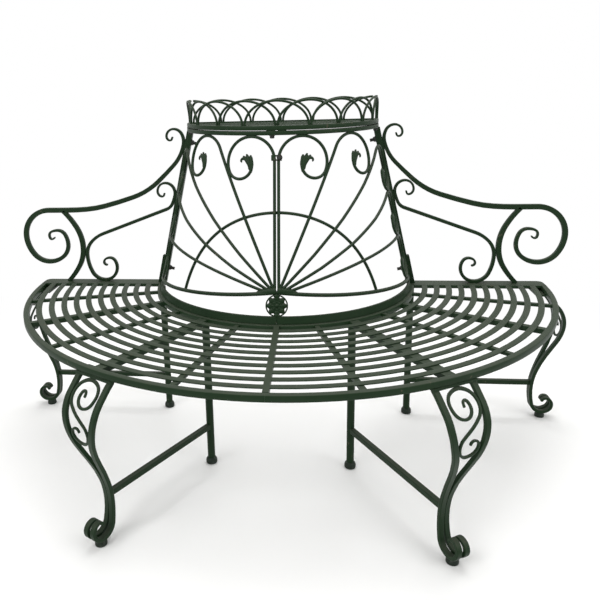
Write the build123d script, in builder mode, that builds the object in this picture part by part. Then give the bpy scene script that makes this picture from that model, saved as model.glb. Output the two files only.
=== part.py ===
from build123d import *

import os
from math import asin, atan, atan2, ceil, cos, degrees, hypot, radians, sin, sqrt, tan

# A half-round wrought-iron garden bench. The origin lies on the floor, in the middle of the straight
# back edge: X runs to the sitter's left (the viewer's right), the round front faces -Y and Z is up.
# Angles about the vertical axis are counted from the front, positive towards +X.

# Seat
SEAT_TOP = 437
OUTER_RIM_R = 774.5
INNER_RIM_R = 389
RIM_W = 15
RIM_H = 16
RIM_SIDES = 72
SLAT_PITCH = 34.7
SLAT_W = 14
SLAT_T = 3
SLAT_SIDES = 40
END_BAR_W = 15
CENTRE_BAR_W = 7
THIN_RIB_ANGLES = (15, 45, 75)
THIN_RIB_W = 12
THIN_RIB_H = 8
DEEP_RIB_ANGLE = 60
DEEP_RIB_W = 16
DEEP_RIB_H = RIM_H - SLAT_T

# Legs
FRONT_LEG_ANGLE = 30
END_LEG_INSET = 14
LEG_RAIL_W = 26
LEG_HEAD_LENGTH = 116
LEG_HEAD_WIDTH = 40
LEG_HEAD_T = 6
LEG_BAR_W = 14
LEG_BAR_T = 10
LEG_SPREAD = 50
LEG_JOIN_Z = 134
LEG_TOP_INSET = 15.5
LEG_TOP_RUN = 13
LEG_KNEE_REACH = 57
LEG_KNEE_DROP = 98
LEG_BEND_LIFT = 8
LEG_SHANK_INSET = 9.5
LEG_SHANK_R = OUTER_RIM_R - LEG_SHANK_INSET
LEG_SHANK_Z = 95
LEG_SCROLL_W = 6
LEG_SCROLL_SEAT = 0.2
FOOT_REACH = 36
FOOT_R = LEG_SHANK_R + FOOT_REACH
FOOT_Z = 22
FOOT_ROLL = 29
GLIDE_D = 30
REAR_LEG_D = 20.5
REAR_CAP_D = 29
REAR_CAP_H = 19
STRETCHER_SIZE = 17
STRETCHER_Z = 126
STRETCHER_SEAT = 2
ROUND_SIDES = 12

# Back: a flat panel of rods rolled into a half cone
BACK_INSET = 5
BACK_BASE_R = INNER_RIM_R - BACK_INSET
BACK_LEAN = 13
BACK_H = 473
POST_W = 18
BOTTOM_BAND_H = 20
BOTTOM_BAND_T = 6
TOP_BAND_Z = SEAT_TOP + BACK_H
TOP_BAND_H = 11
TOP_BAND_W = 15
ROD = 7
ROD_SEAT = 0.5
LOWER_ROD = 10
LOWER_ROD_RISE = 80
LOWER_ROD_FALL = 0.62
CENTRE_ROD_X = 5.3
CLIP_DROP = 55
CLIP_W = 27
SCROLL_R = 64
SCROLL_EYE_R = 33
SCROLL_STEP = 30
SCROLL_TURN = 24
SIDE_SCROLL_TURN = 75
SIDE_SCROLL_Y = 427
SIDE_SCROLL_PITCH = 125
HOOP_R = 318.5
HOOP_DROP = 31
ROSETTE_T = 6
ROSETTE_SEAT = 2
ROSETTE_BORDER = 10
ROSETTE_BOSS_R = 7
PETALS = 8

# Shelf gallery on top of the back
GALLERY_GAP = 1.5
SPACER_ANGLES = (-80, -3, 3, 80)
SPACER_LENGTH = 22
GALLERY_BAND_H = 12
GALLERY_BAND_W = 14
SHELF_SLAT_PITCH = 34
SHELF_DROP = 3
ARCH_ROD = 6
ARCH_H = 62
ARCH_CLEARANCE = 0.3
FRONT_BAYS = 10
FRONT_CORNER_TURN = 10
BACK_BAYS = 6
BACK_CORNER_TURN = 4
CORNER_RISE = 3

# Arms
ARM_DEPTH = 12
ARM_RAIL_DROP = 42
ARM_SCROLL_RISE = 278
ARM_TOUCH = 4.2
TAB_H = 88
TAB_T = 8

# Worked-out values shared by the pieces
seat_bottom = SEAT_TOP - RIM_H
slat_bottom = SEAT_TOP - SLAT_T
span_in = INNER_RIM_R + RIM_W / 2
span_out = OUTER_RIM_R - RIM_W / 2
rim_face = OUTER_RIM_R + RIM_W / 2
slat_count = int((OUTER_RIM_R - INNER_RIM_R) / SLAT_PITCH - 0.5)
leg_top = seat_bottom - LEG_HEAD_T
lean = tan(radians(BACK_LEAN))
cone_sin = sin(radians(BACK_LEAN))
cone_cos = cos(radians(BACK_LEAN))
apex_reach = BACK_BASE_R / cone_sin
hub_y = LOWER_ROD_RISE / cone_cos
scroll_top = BACK_H / cone_cos - ROD / 2 + ROD_SEAT
scroll_reach = apex_reach - scroll_top + SCROLL_R
top_band_r = BACK_BASE_R - lean * (TOP_BAND_Z + TOP_BAND_H / 2 - SEAT_TOP)
gallery_bottom = TOP_BAND_Z + TOP_BAND_H + GALLERY_GAP
gallery_top = gallery_bottom + GALLERY_BAND_H
post_half = POST_W / 2 / cone_cos
footprint_middle = Pos(0, (rim_face - LEG_HEAD_LENGTH / 2 + END_LEG_INSET) / 2, 0)
big = 2 * OUTER_RIM_R

# Bent bars repeat so often that their bends are drawn as chords, which leave the true arc by this much
CHORD_SAG = 1.1

# A bend of less than this, in radians, is a straight run
STRAIGHT = 1e-3

# Short step for finding the direction of a curve
STEP = 1e-2


def turned(angle):
    """Location that turns the +X direction to an angle counted from the front."""
    return Location((0, 0, 0), (0, 0, angle - 90))


def save(name, *pieces):
    """Writes a node of one or more separate solids, seen from the middle of the bench's footprint."""
    solids = [solid.moved(footprint_middle) for piece in pieces for solid in piece.solids()]
    node = Compound(solids) if len(solids) > 1 else solids[0]
    node.label = name
    export_step(node, f"parts/{name}.step")


def placed(piece, location):
    """Copy of a piece at a location."""
    with BuildPart() as copy:
        with Locations(location):
            add(piece)
    return copy.part


def mirrored(piece):
    """The other half's copy of a piece."""
    with BuildPart() as copy:
        add(piece)
        mirror(about=Plane.YZ, mode=Mode.REPLACE)
    return copy.part


def fitted(piece, *others):
    """A piece cut back to seat against its neighbours, without the offcuts."""
    with BuildPart() as seated:
        add(piece)
        for other in others:
            add(other, mode=Mode.SUBTRACT)
    return seated.part.solids().sort_by(SortBy.VOLUME)[-1]


def save_pair(name, *pieces):
    """Writes a right-hand node and its mirrored left-hand twin."""
    save(f"{name}_left", *[mirrored(piece) for piece in pieces])
    save(f"{name}_right", *pieces)


# Paths of tangent arcs

def along_chord(heading, chord):
    """Whether a chord keeps to a heading closely enough for a straight line."""
    return heading.cross(chord).length < STRAIGHT * chord.length


def bend(start, heading, end):
    """Points, after the start, of the arc that leaves it along a heading and reaches an end."""
    if along_chord(heading, end - start):
        return [end]
    arc = TangentArc(start, end, tangent=heading, mode=Mode.PRIVATE)
    count = ceil(arc.length / sqrt(8 * CHORD_SAG * arc.radius))
    return [arc @ (i / count) for i in range(1, count + 1)]


def flow(stations):
    """Points along pairs of tangent arcs between stations, each a point and a unit direction."""
    points = [stations[0][0]]
    for (start, heading), (end, final) in zip(stations, stations[1:]):
        chord = end - start
        if along_chord(heading, chord) and along_chord(final, chord):
            points.append(end)
            continue
        turn = 2 * (1 - heading.dot(final))
        along = chord.dot(heading + final)
        if turn < STRAIGHT**2:
            reach = chord.dot(chord) / (2 * along)
        else:
            reach = (sqrt(along**2 + turn * chord.dot(chord)) - along) / turn
        before = start + heading * reach
        after = end - final * reach
        joint = (before + after) * 0.5
        points += bend(start, heading, joint)
        points += bend(joint, (after - before).normalized(), end)
    return points


def planar(x, y, heading):
    """Station in a sketch plane, its heading in degrees from the plane's x axis."""
    angle = radians(heading)
    return Vector(x, y), Vector(cos(angle), sin(angle))


def ribbon(stations):
    """Face of a bar along stations of x, y, heading and width."""
    left = []
    right = []
    for x, y, heading, width in stations:
        point, direction = planar(x, y, heading)
        side = Vector(-direction.Y, direction.X) * (width / 2)
        left.append((point + side, direction))
        right.append((point - side, direction * -1))
    right.reverse()
    with BuildSketch() as face:
        with BuildLine():
            Polyline(*flow(left), *flow(right), close=True)
        make_face()
    return face.sketch


def moved(stations, x, y):
    """Stations of a bar drawn about its seat, moved to where that seat is."""
    return [(x + dx, y + dy, heading, width) for dx, dy, heading, width in stations]


# The back's flat panel, with its zero at the foot of the centre line, rolled on the cone

def rolled(x, y, inset=0):
    """Point of the flat panel on the cone, moved towards the axis by an inset."""
    reach = hypot(x, apex_reach - y)
    angle = atan2(x, apex_reach - y) / cone_sin
    radius = reach * cone_sin - inset * cone_cos
    height = SEAT_TOP + (apex_reach - reach) * cone_cos - inset * cone_sin
    return Vector(radius * sin(angle), -radius * cos(angle), height)


def rolled_stations(flat, inset=0):
    """Stations on the cone from flat ones of x, y and heading in degrees."""
    stations = []
    for x, y, heading in flat:
        dx = STEP * cos(radians(heading))
        dy = STEP * sin(radians(heading))
        ahead = rolled(x + dx, y + dy, inset)
        behind = rolled(x - dx, y - dy, inset)
        stations.append((rolled(x, y, inset), (ahead - behind).normalized()))
    return stations


def panel_edge(y):
    """Distance of the flat panel's straight edge from its centre line at a height on the panel."""
    return (apex_reach - y) * tan(radians(90 * cone_sin))


def flat_arc(centre, radius, first, last, spans):
    """Flat stations clockwise round a centre, between two polar angles in degrees."""
    angles = [first + (last - first) * i / spans for i in range(spans + 1)]
    return [
        (centre[0] + radius * cos(radians(a)), centre[1] + radius * sin(radians(a)), a - 90) for a in angles
    ]


def square_bar(stations, size):
    """Square bar along stations in space, one side facing away from the axis at its start."""
    points = flow(stations)
    start = points[0]
    with BuildPart() as bar:
        with BuildLine():
            Polyline(*points)
        with BuildSketch(Plane(origin=start, x_dir=Vector(start.X, start.Y, 0), z_dir=points[1] - start)):
            Rectangle(size, size)
        sweep(transition=Transition.RIGHT)
    return bar.part


# Seat

def quarter_ring(radius, width, bottom, height):
    """Quarter of a flat ring in short straight lengths, between the centre plane and the back plane."""
    with BuildPart() as ring:
        with BuildSketch(Plane.XY.offset(bottom)):
            RegularPolygon(radius + width / 2, RIM_SIDES)
            RegularPolygon(radius - width / 2, RIM_SIDES, mode=Mode.SUBTRACT)
            Rectangle(big, big, align=(Align.MIN, Align.MAX), mode=Mode.INTERSECT)
        extrude(amount=height)
    return ring.part


def seat_slat(radius):
    """One seat slat, a thin bent strip in short straight lengths, from the centre bar to the end bar."""
    with BuildPart() as slat:
        with BuildSketch(Plane.XY.offset(slat_bottom)):
            RegularPolygon(radius + SLAT_W / 2, SLAT_SIDES)
            RegularPolygon(radius - SLAT_W / 2, SLAT_SIDES, mode=Mode.SUBTRACT)
            with Locations((CENTRE_BAR_W, -END_BAR_W)):
                Rectangle(big, big, align=(Align.MIN, Align.MAX), mode=Mode.INTERSECT)
        extrude(amount=SLAT_T)
    return slat.part


def spoke(angle, width, top, height, offset=0):
    """Bar between the two rims along an angle, moved sideways by an offset."""
    with BuildPart() as bar:
        with BuildSketch(Plane.XY.offset(top - height)):
            RegularPolygon(span_out, RIM_SIDES)
            RegularPolygon(span_in, RIM_SIDES, mode=Mode.SUBTRACT)
            with Locations(turned(angle) * Pos(0, offset)):
                Rectangle(big, width, align=(Align.MIN, Align.CENTER), mode=Mode.INTERSECT)
        extrude(amount=height)
    return bar.part


def seat():
    """The right half of the seat frame, with its slats and ribs."""
    slats = [seat_slat(OUTER_RIM_R - i * SLAT_PITCH) for i in range(1, slat_count + 1)]
    ribs = [spoke(angle, THIN_RIB_W, slat_bottom, THIN_RIB_H) for angle in THIN_RIB_ANGLES]
    ribs.append(spoke(DEEP_RIB_ANGLE, DEEP_RIB_W, slat_bottom, DEEP_RIB_H))
    save_pair("seat_outer_rim", quarter_ring(OUTER_RIM_R, RIM_W, seat_bottom, RIM_H))
    save_pair("seat_inner_rim", quarter_ring(INNER_RIM_R, RIM_W, seat_bottom, RIM_H))
    save_pair("seat_end_bar", spoke(90, END_BAR_W, SEAT_TOP, RIM_H, -END_BAR_W / 2))
    save_pair("seat_centre_bar", spoke(0, CENTRE_BAR_W, SEAT_TOP, RIM_H, CENTRE_BAR_W / 2))
    save_pair("seat_slats", *slats)
    save_pair("seat_ribs", *ribs)
    save_pair("leg_rail", spoke(FRONT_LEG_ANGLE, LEG_RAIL_W, slat_bottom, DEEP_RIB_H))


# Legs, drawn with the radial direction along X

def leg_profile(thickness):
    """Side profile of a front leg: knee, shank and rolled foot, in the radial plane."""
    knee_r = OUTER_RIM_R + LEG_KNEE_REACH
    knee_z = leg_top - LEG_KNEE_DROP
    bend_r = (knee_r + LEG_SHANK_R) / 2
    bend_z = (knee_z + LEG_SHANK_Z) / 2 + LEG_BEND_LIFT
    return ribbon(
        [
            (OUTER_RIM_R - LEG_TOP_INSET, leg_top + LEG_TOP_RUN, -40, thickness),
            (knee_r, knee_z, -90, thickness),
            (bend_r, bend_z, -117, thickness),
            (LEG_SHANK_R, LEG_SHANK_Z, -90, thickness),
            (FOOT_R, FOOT_Z, 0, thickness),
            (FOOT_R + FOOT_ROLL, FOOT_Z + 25, 90, thickness - 1),
            (FOOT_R + 11, FOOT_Z + 45, 180, thickness - 2),
            (FOOT_R, FOOT_Z + 34, 270, thickness - 3),
            (FOOT_R + 9, FOOT_Z + 25, 360, thickness - 3),
        ]
    )


def crossed(side, front):
    """Solid with one outline seen from the side and another seen from the front."""
    with BuildPart() as piece:
        with BuildSketch(Plane.XZ):
            add(side)
        extrude(amount=LEG_HEAD_LENGTH, both=True)
        with BuildSketch(Plane.YZ):
            add(front)
        extrude(amount=big, mode=Mode.INTERSECT)
    return piece.part


def leg_bar():
    """One of the two splayed bars of a front leg, the one on the +Y side."""
    side = leg_profile(LEG_BAR_T)
    front = ribbon(
        [
            (LEG_SPREAD, leg_top, -90, LEG_BAR_W),
            (LEG_BAR_W / 2, LEG_JOIN_Z, -90, LEG_BAR_W),
            (LEG_BAR_W / 2, LEG_SHANK_Z, -90, LEG_BAR_W),
            (LEG_BAR_W / 2 + 4, 0, -88, LEG_BAR_W),
        ]
    )
    return crossed(side, front)


def scroll_touch(drop):
    """Distance of the S-scroll from the leg's middle where it touches a bar, at a drop below the head."""
    fall = leg_top - LEG_JOIN_Z
    shift = LEG_SPREAD - LEG_BAR_W / 2
    radius = (shift**2 + fall**2) / (4 * shift)
    slope = asin(drop / radius)
    clear = LEG_SPREAD - radius * (1 - cos(slope)) - LEG_BAR_W / 2 / cos(slope)
    return clear - LEG_SCROLL_W / 2 + LEG_SCROLL_SEAT


def leg_scroll():
    """S-scroll that fills the space between the two bars, on the same curved face."""
    side = leg_profile(LEG_SCROLL_W)
    upper_drop = 33
    lower_drop = 113
    run = [
        (1, 36, 95),
        (8, 25, 0),
        (16, 36, -90),
        (-4, 55.5, -180),
        (-32, 29, -270),
        (4, 6, -360),
        (scroll_touch(upper_drop), upper_drop, -450),
        (8, 74, -505),
        (-scroll_touch(lower_drop), lower_drop, -450),
        (-1, 140, -360),
        (24, 116, -270),
        (10, 102, -180),
        (1, 111, -95),
    ]
    front = ribbon([(across, leg_top - drop, heading, LEG_SCROLL_W) for across, drop, heading in run])
    return crossed(side, front)


def legs():
    """The four leg frames: two under the front and two at the seat's ends."""
    far_bar = leg_bar()
    with BuildPart() as near_bar:
        add(far_bar)
        mirror(about=Plane.XZ, mode=Mode.REPLACE)
    bars = (far_bar, near_bar.part)
    scroll = fitted(leg_scroll(), *bars)
    with BuildPart() as head:
        with Locations((rim_face - LEG_HEAD_WIDTH / 2, 0, leg_top + LEG_HEAD_T / 2)):
            Box(LEG_HEAD_WIDTH, LEG_HEAD_LENGTH, LEG_HEAD_T)
    with BuildPart() as glide:
        with BuildSketch():
            with Locations((FOOT_R, 0)):
                RegularPolygon(GLIDE_D / 2, ROUND_SIDES)
        extrude(amount=FOOT_Z)
        for bar in bars:
            add(bar, mode=Mode.SUBTRACT)
    with BuildPart() as rear_leg:
        with BuildSketch(Plane.XY.offset(REAR_CAP_H)):
            with Locations((INNER_RIM_R, 0)):
                RegularPolygon(REAR_LEG_D / 2, ROUND_SIDES)
        extrude(amount=seat_bottom - REAR_CAP_H)
    with BuildPart() as rear_cap:
        with BuildSketch():
            with Locations((INNER_RIM_R, 0)):
                RegularPolygon(REAR_CAP_D / 2, ROUND_SIDES)
        extrude(amount=REAR_CAP_H)
    with BuildPart() as stretcher:
        with BuildSketch(Plane.YZ.offset(INNER_RIM_R)):
            with Locations((0, STRETCHER_Z)):
                Rectangle(STRETCHER_SIZE, STRETCHER_SIZE)
        extrude(amount=LEG_SHANK_R + STRETCHER_SEAT - INNER_RIM_R)
        for neighbour in (rear_leg.part, *bars):
            add(neighbour, mode=Mode.SUBTRACT)
    front = turned(FRONT_LEG_ANGLE)
    end = Pos(0, -END_LEG_INSET, 0)
    save_pair("front_leg_bars", *[placed(bar, front) for bar in bars])
    save_pair("end_leg_bars", *[placed(bar, end) for bar in bars])
    for piece, name in (
        (scroll, "leg_scrolls"),
        (head.part, "leg_head_plates"),
        (glide.part, "front_glides"),
        (rear_leg.part, "rear_legs"),
        (rear_cap.part, "rear_leg_caps"),
        (stretcher.part, "leg_stretchers"),
    ):
        right = [placed(piece, front), placed(piece, end)]
        save(name, *right, *[mirrored(copy) for copy in right])


# Back

def post_face(height):
    """Distance of a post's outer face from the centre plane at a height."""
    return BACK_BASE_R - lean * (height - SEAT_TOP) + post_half


def top_scroll(index):
    """Centre on the flat panel of a scroll under the top band, counted from the centre line."""
    first_angle = asin((CENTRE_ROD_X + SCROLL_R) / scroll_reach)
    angle = first_angle + radians(index * SCROLL_STEP * cone_sin)
    return scroll_reach * sin(angle), apex_reach - scroll_reach * cos(angle)


def side_scroll(index):
    """Centre on the flat panel of a scroll that leans on the post, counted from the top."""
    y = SIDE_SCROLL_Y - index * SIDE_SCROLL_PITCH
    clear = POST_W + ROD / 2 - ROD_SEAT + SCROLL_R
    return panel_edge(y) - clear / cos(radians(90 * cone_sin)), y


def fan_rods():
    """The five rods of the right panel, each ending in a scroll, and the ends of the two top ones."""
    rods = []
    tips = []
    for start_x, start_y, start_heading, centre, turn in (
        (CENTRE_ROD_X, hub_y - 2, 90, top_scroll(0), SCROLL_TURN),
        (10.7, hub_y - 2.8, None, top_scroll(1), SCROLL_TURN),
        (17.3, hub_y - 1.5, 48, side_scroll(0), SIDE_SCROLL_TURN),
        (32, hub_y - 2.6, 33, side_scroll(1), SIDE_SCROLL_TURN),
        (42.7, hub_y - 1.7, 21, side_scroll(2), SIDE_SCROLL_TURN),
    ):
        angle = degrees(atan2(centre[0], apex_reach - centre[1]))
        away = degrees(atan2(centre[1] - start_y, centre[0] - start_x))
        distance = hypot(centre[0] - start_x, centre[1] - start_y)
        tangent = away + degrees(asin(SCROLL_R / distance))
        entry = tangent if start_heading is None else 2 * tangent - start_heading
        tightening = angle - turn
        loop = flat_arc(centre, SCROLL_R, entry + 90, tightening, 3)
        eye_centre = (
            centre[0] + (SCROLL_R - SCROLL_EYE_R) * cos(radians(tightening)),
            centre[1] + (SCROLL_R - SCROLL_EYE_R) * sin(radians(tightening)),
        )
        inner = flat_arc(eye_centre, SCROLL_EYE_R, tightening, angle - 180, 2)
        first = start_heading if start_heading is not None else tangent
        flat = [(start_x, start_y, first), *loop, *inner[1:]]
        rods.append(square_bar(rolled_stations(flat), ROD))
        tips.append(inner[-1])
    return rods, tips[:2]


def lower_rod():
    """Bottom rod of the fan: level with the hub at the centre and falling towards the post."""
    flat = []
    spans = 3
    for i in range(spans + 1):
        angle = 90 * i / spans
        reach = apex_reach - (LOWER_ROD_RISE - LOWER_ROD_FALL * angle) / cone_cos
        turn = radians(angle * cone_sin)
        slope = atan(LOWER_ROD_FALL / cone_cos * degrees(1) / cone_sin / reach)
        flat.append((reach * sin(turn), apex_reach - reach * cos(turn), degrees(turn - slope)))
    return square_bar(rolled_stations(flat), LOWER_ROD)


def hoop():
    """Arch that crosses behind the rods of the fan, half of it on each panel."""
    flat = flat_arc((0, -HOOP_DROP), HOOP_R, 89, 20, 2)
    return square_bar(rolled_stations(flat, ROD), ROD)


def leaf():
    """Curled leaf at a scroll's end, drawn with its stem at the origin and growing along Y."""
    with BuildPart() as tip:
        with BuildSketch(Plane.XY.offset(-ROD / 2)):
            with BuildLine():
                Polyline(
                    (-ROD / 2, 0),
                    (ROD / 2, 0),
                    (6, 13),
                    (15, 20),
                    (22, 18),
                    (27, 12),
                    (30, 22),
                    (24, 30),
                    (18, 35),
                    (12, 33),
                    (4, 38),
                    (0, 31),
                    (-5, 16),
                    close=True,
                )
            make_face()
        extrude(amount=ROD)
    return tip.part


def leaf_place(tip):
    """Location of a leaf on a flat scroll end, lying on the cone there."""
    x, y, heading = tip
    point, along = rolled_stations([(x, y, heading)])[0]
    across = rolled_stations([(x, y, heading - 90)])[0][1]
    return Plane(origin=point, x_dir=across, z_dir=across.cross(along)).location


def back():
    """The two rolled panels of the back, their posts, bands, fans and ornaments."""
    with BuildPart() as post:
        with BuildSketch(Plane.XZ):
            foot = BACK_BASE_R
            head = BACK_BASE_R - lean * (TOP_BAND_Z - SEAT_TOP)
            Polygon(
                (foot - post_half, SEAT_TOP),
                (foot + post_half, SEAT_TOP),
                (head + post_half, TOP_BAND_Z),
                (head - post_half, TOP_BAND_Z),
                align=None,
            )
        extrude(amount=POST_W)
    with BuildPart() as bottom_band:
        for side, mode in ((BOTTOM_BAND_T / 2, Mode.ADD), (-BOTTOM_BAND_T / 2, Mode.SUBTRACT)):
            with BuildSketch(Plane.XY.offset(SEAT_TOP)):
                RegularPolygon(BACK_BASE_R + side, RIM_SIDES)
            with BuildSketch(Plane.XY.offset(SEAT_TOP + BOTTOM_BAND_H)):
                RegularPolygon(BACK_BASE_R + side - lean * BOTTOM_BAND_H, RIM_SIDES)
            loft(ruled=True, mode=mode)
        with Locations((0, -POST_W, 0)):
            Box(big, big, big, align=(Align.MIN, Align.MAX, Align.CENTER), mode=Mode.INTERSECT)
        add(post.part, mode=Mode.SUBTRACT)
    top_band = quarter_ring(top_band_r, TOP_BAND_W, TOP_BAND_Z, TOP_BAND_H)
    with BuildPart() as left_half:
        Box(big, big, 2 * big, align=(Align.MAX, Align.CENTER, Align.CENTER))
    low = fitted(lower_rod(), post.part, bottom_band.part, left_half.part)
    rods, tips = fan_rods()
    fan = []
    for rod in rods:
        fan.append(fitted(rod, low, post.part, top_band, *fan))
    rim_hoop = fitted(hoop(), low, *fan)
    leaves = [fitted(placed(leaf(), leaf_place(tip)), *fan) for tip in tips]
    save_pair("back_post", post.part)
    save_pair("back_bottom_band", bottom_band.part)
    save_pair("back_top_band", top_band)
    save_pair("back_lower_rod", low)
    save_pair("back_fan_rods", *fan)
    save_pair("back_hoop", rim_hoop)
    save_pair("back_leaf_tips", *leaves)
    return post.part, fan[0], low, bottom_band.part


def rosette(low, band):
    """Flower medallion between the lower rods and the bottom band, on the centre line."""
    bottom = SEAT_TOP + BOTTOM_BAND_H
    top = SEAT_TOP + LOWER_ROD_RISE - LOWER_ROD / 2
    middle = (bottom + top) / 2
    radius = (top - bottom) / 2 + ROSETTE_SEAT
    base = Vector(0, -BACK_BASE_R + lean * (middle - SEAT_TOP), middle)
    face = Plane(origin=base, x_dir=(1, 0, 0), z_dir=(0, -cone_cos, cone_sin))
    with BuildPart() as flower:
        with BuildSketch(face.offset(-ROSETTE_T / 2)):
            RegularPolygon(radius, 3 * PETALS)
            with PolarLocations(radius - ROSETTE_BORDER / 2, PETALS):
                RegularPolygon(ROSETTE_BORDER / 4, 4, mode=Mode.SUBTRACT)
        extrude(amount=ROSETTE_T)
        with BuildSketch(face.offset(ROSETTE_T / 2)):
            RegularPolygon(radius - ROSETTE_BORDER, PETALS)
        extrude(amount=ROSETTE_T / 3)
        with BuildSketch(face.offset(ROSETTE_T / 2)):
            RegularPolygon(ROSETTE_BOSS_R, PETALS)
        extrude(amount=2 * ROSETTE_T / 3)
        for piece in (low, mirrored(low), band, mirrored(band)):
            add(piece, mode=Mode.SUBTRACT)
    save("back_rosette", flower.part)


def rod_clip(centre_rod):
    """Clip that holds the two centre rods together below their scrolls."""
    face = Plane(origin=rolled(0, scroll_top - CLIP_DROP), x_dir=(1, 0, 0), z_dir=(0, -cone_cos, cone_sin))
    with BuildPart() as clip:
        with BuildSketch(face.offset(-ROD)):
            Rectangle(CLIP_W, 2 * ROD)
        extrude(amount=2 * ROD)
        add(centre_rod, mode=Mode.SUBTRACT)
        add(mirrored(centre_rod), mode=Mode.SUBTRACT)
    save("back_rod_clip", clip.part)


# Shelf gallery

def arch(point, span, layer, first, last):
    """Rod of an arch over a span, from one part of its half turn to another."""
    stations = []
    spans = round((last - first) / 90)
    for i in range(spans + 1):
        s = radians(first + (last - first) * i / spans)
        here = point(-span * cos(s), gallery_top + ARCH_H * sin(s), layer)
        ahead = point(-span * cos(s + STEP), gallery_top + ARCH_H * sin(s + STEP), layer)
        behind = point(-span * cos(s - STEP), gallery_top + ARCH_H * sin(s - STEP), layer)
        stations.append((here, (ahead - behind).normalized()))
    return square_bar(stations, ARCH_ROD)


def on_front(middle):
    """Places of an arch on the round front, about an angle."""
    def point(offset, height, layer):
        radius = top_band_r + layer
        angle = radians(middle + offset)
        return Vector(radius * sin(angle), -radius * cos(angle), height)
    return point


def on_back(middle):
    """Places of an arch on the straight back bar, about a distance along it."""
    def point(offset, height, layer):
        return Vector(middle + offset, -GALLERY_BAND_W / 2 - layer, height)
    return point


def arch_row(places, span, layer, corner_turn, carriers):
    """A row of arches, inside and outside by turns, with a half arch at each end."""
    row = []
    last = len(places) - 1
    for i, place in enumerate(places):
        side = layer if i % 2 else -layer
        start = 90 + corner_turn if i == 0 else 0
        end = 90 - corner_turn if i == last else 180
        row.append(fitted(arch(place, span, side, start, end), *carriers, *row))
    return row


def gallery():
    """The shelf on top of the back: band, back bar, shelf slats and interlaced arches."""
    inner = top_band_r - GALLERY_BAND_W / 2
    with BuildPart() as band:
        with BuildSketch(Plane.XY.offset(gallery_bottom)):
            RegularPolygon(inner + GALLERY_BAND_W, RIM_SIDES)
            RegularPolygon(inner, RIM_SIDES, mode=Mode.SUBTRACT)
            Rectangle(big, big, align=(Align.CENTER, Align.MAX), mode=Mode.INTERSECT)
        extrude(amount=GALLERY_BAND_H)
    with BuildPart() as back_bar:
        with BuildSketch(Plane.XY.offset(gallery_bottom)):
            RegularPolygon(inner, RIM_SIDES)
            Rectangle(big, GALLERY_BAND_W, align=(Align.CENTER, Align.MAX), mode=Mode.INTERSECT)
        extrude(amount=GALLERY_BAND_H)
    with BuildPart() as shelf:
        for i in range(1, int((inner - SLAT_W) / SHELF_SLAT_PITCH) + 1):
            with BuildSketch(Plane.XY.offset(gallery_top - SHELF_DROP - SLAT_T)):
                RegularPolygon(inner, RIM_SIDES)
                with Locations((0, -i * SHELF_SLAT_PITCH)):
                    Rectangle(big, SLAT_W, mode=Mode.INTERSECT)
            extrude(amount=SLAT_T)
    with BuildPart() as spacers:
        for angle in SPACER_ANGLES:
            with Locations(turned(angle) * Pos(top_band_r, 0, gallery_bottom - GALLERY_GAP)):
                Box(GALLERY_BAND_W, SPACER_LENGTH, GALLERY_GAP, align=(Align.CENTER, Align.CENTER, Align.MIN))
    with BuildPart() as corners:
        with Locations((top_band_r, -ARCH_ROD, gallery_top), (-top_band_r, -ARCH_ROD, gallery_top)):
            Box(ARCH_ROD, ARCH_ROD, ARCH_H + CORNER_RISE, align=(Align.CENTER, Align.CENTER, Align.MIN))
    layer = ARCH_ROD / 2 + ARCH_CLEARANCE
    step = 180 / FRONT_BAYS
    span = step - degrees(layer / top_band_r)
    front_places = [on_front(i * step - 90) for i in range(FRONT_BAYS + 1)]
    fronts = arch_row(front_places, span, layer, FRONT_CORNER_TURN, (corners.part, band.part))
    bay = 2 * inner / BACK_BAYS
    back_places = [on_back(i * bay - inner) for i in range(BACK_BAYS + 1)]
    backs = arch_row(back_places, bay - layer, layer, BACK_CORNER_TURN, (corners.part, back_bar.part))
    save("gallery_band", band.part)
    save("gallery_back_bar", back_bar.part)
    save("gallery_shelf_slats", shelf.part)
    save("gallery_front_arches", *fronts)
    save("gallery_back_arches", *backs)
    save("gallery_corner_posts", corners.part)
    save("gallery_spacers", spacers.part)


# Arms

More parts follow.
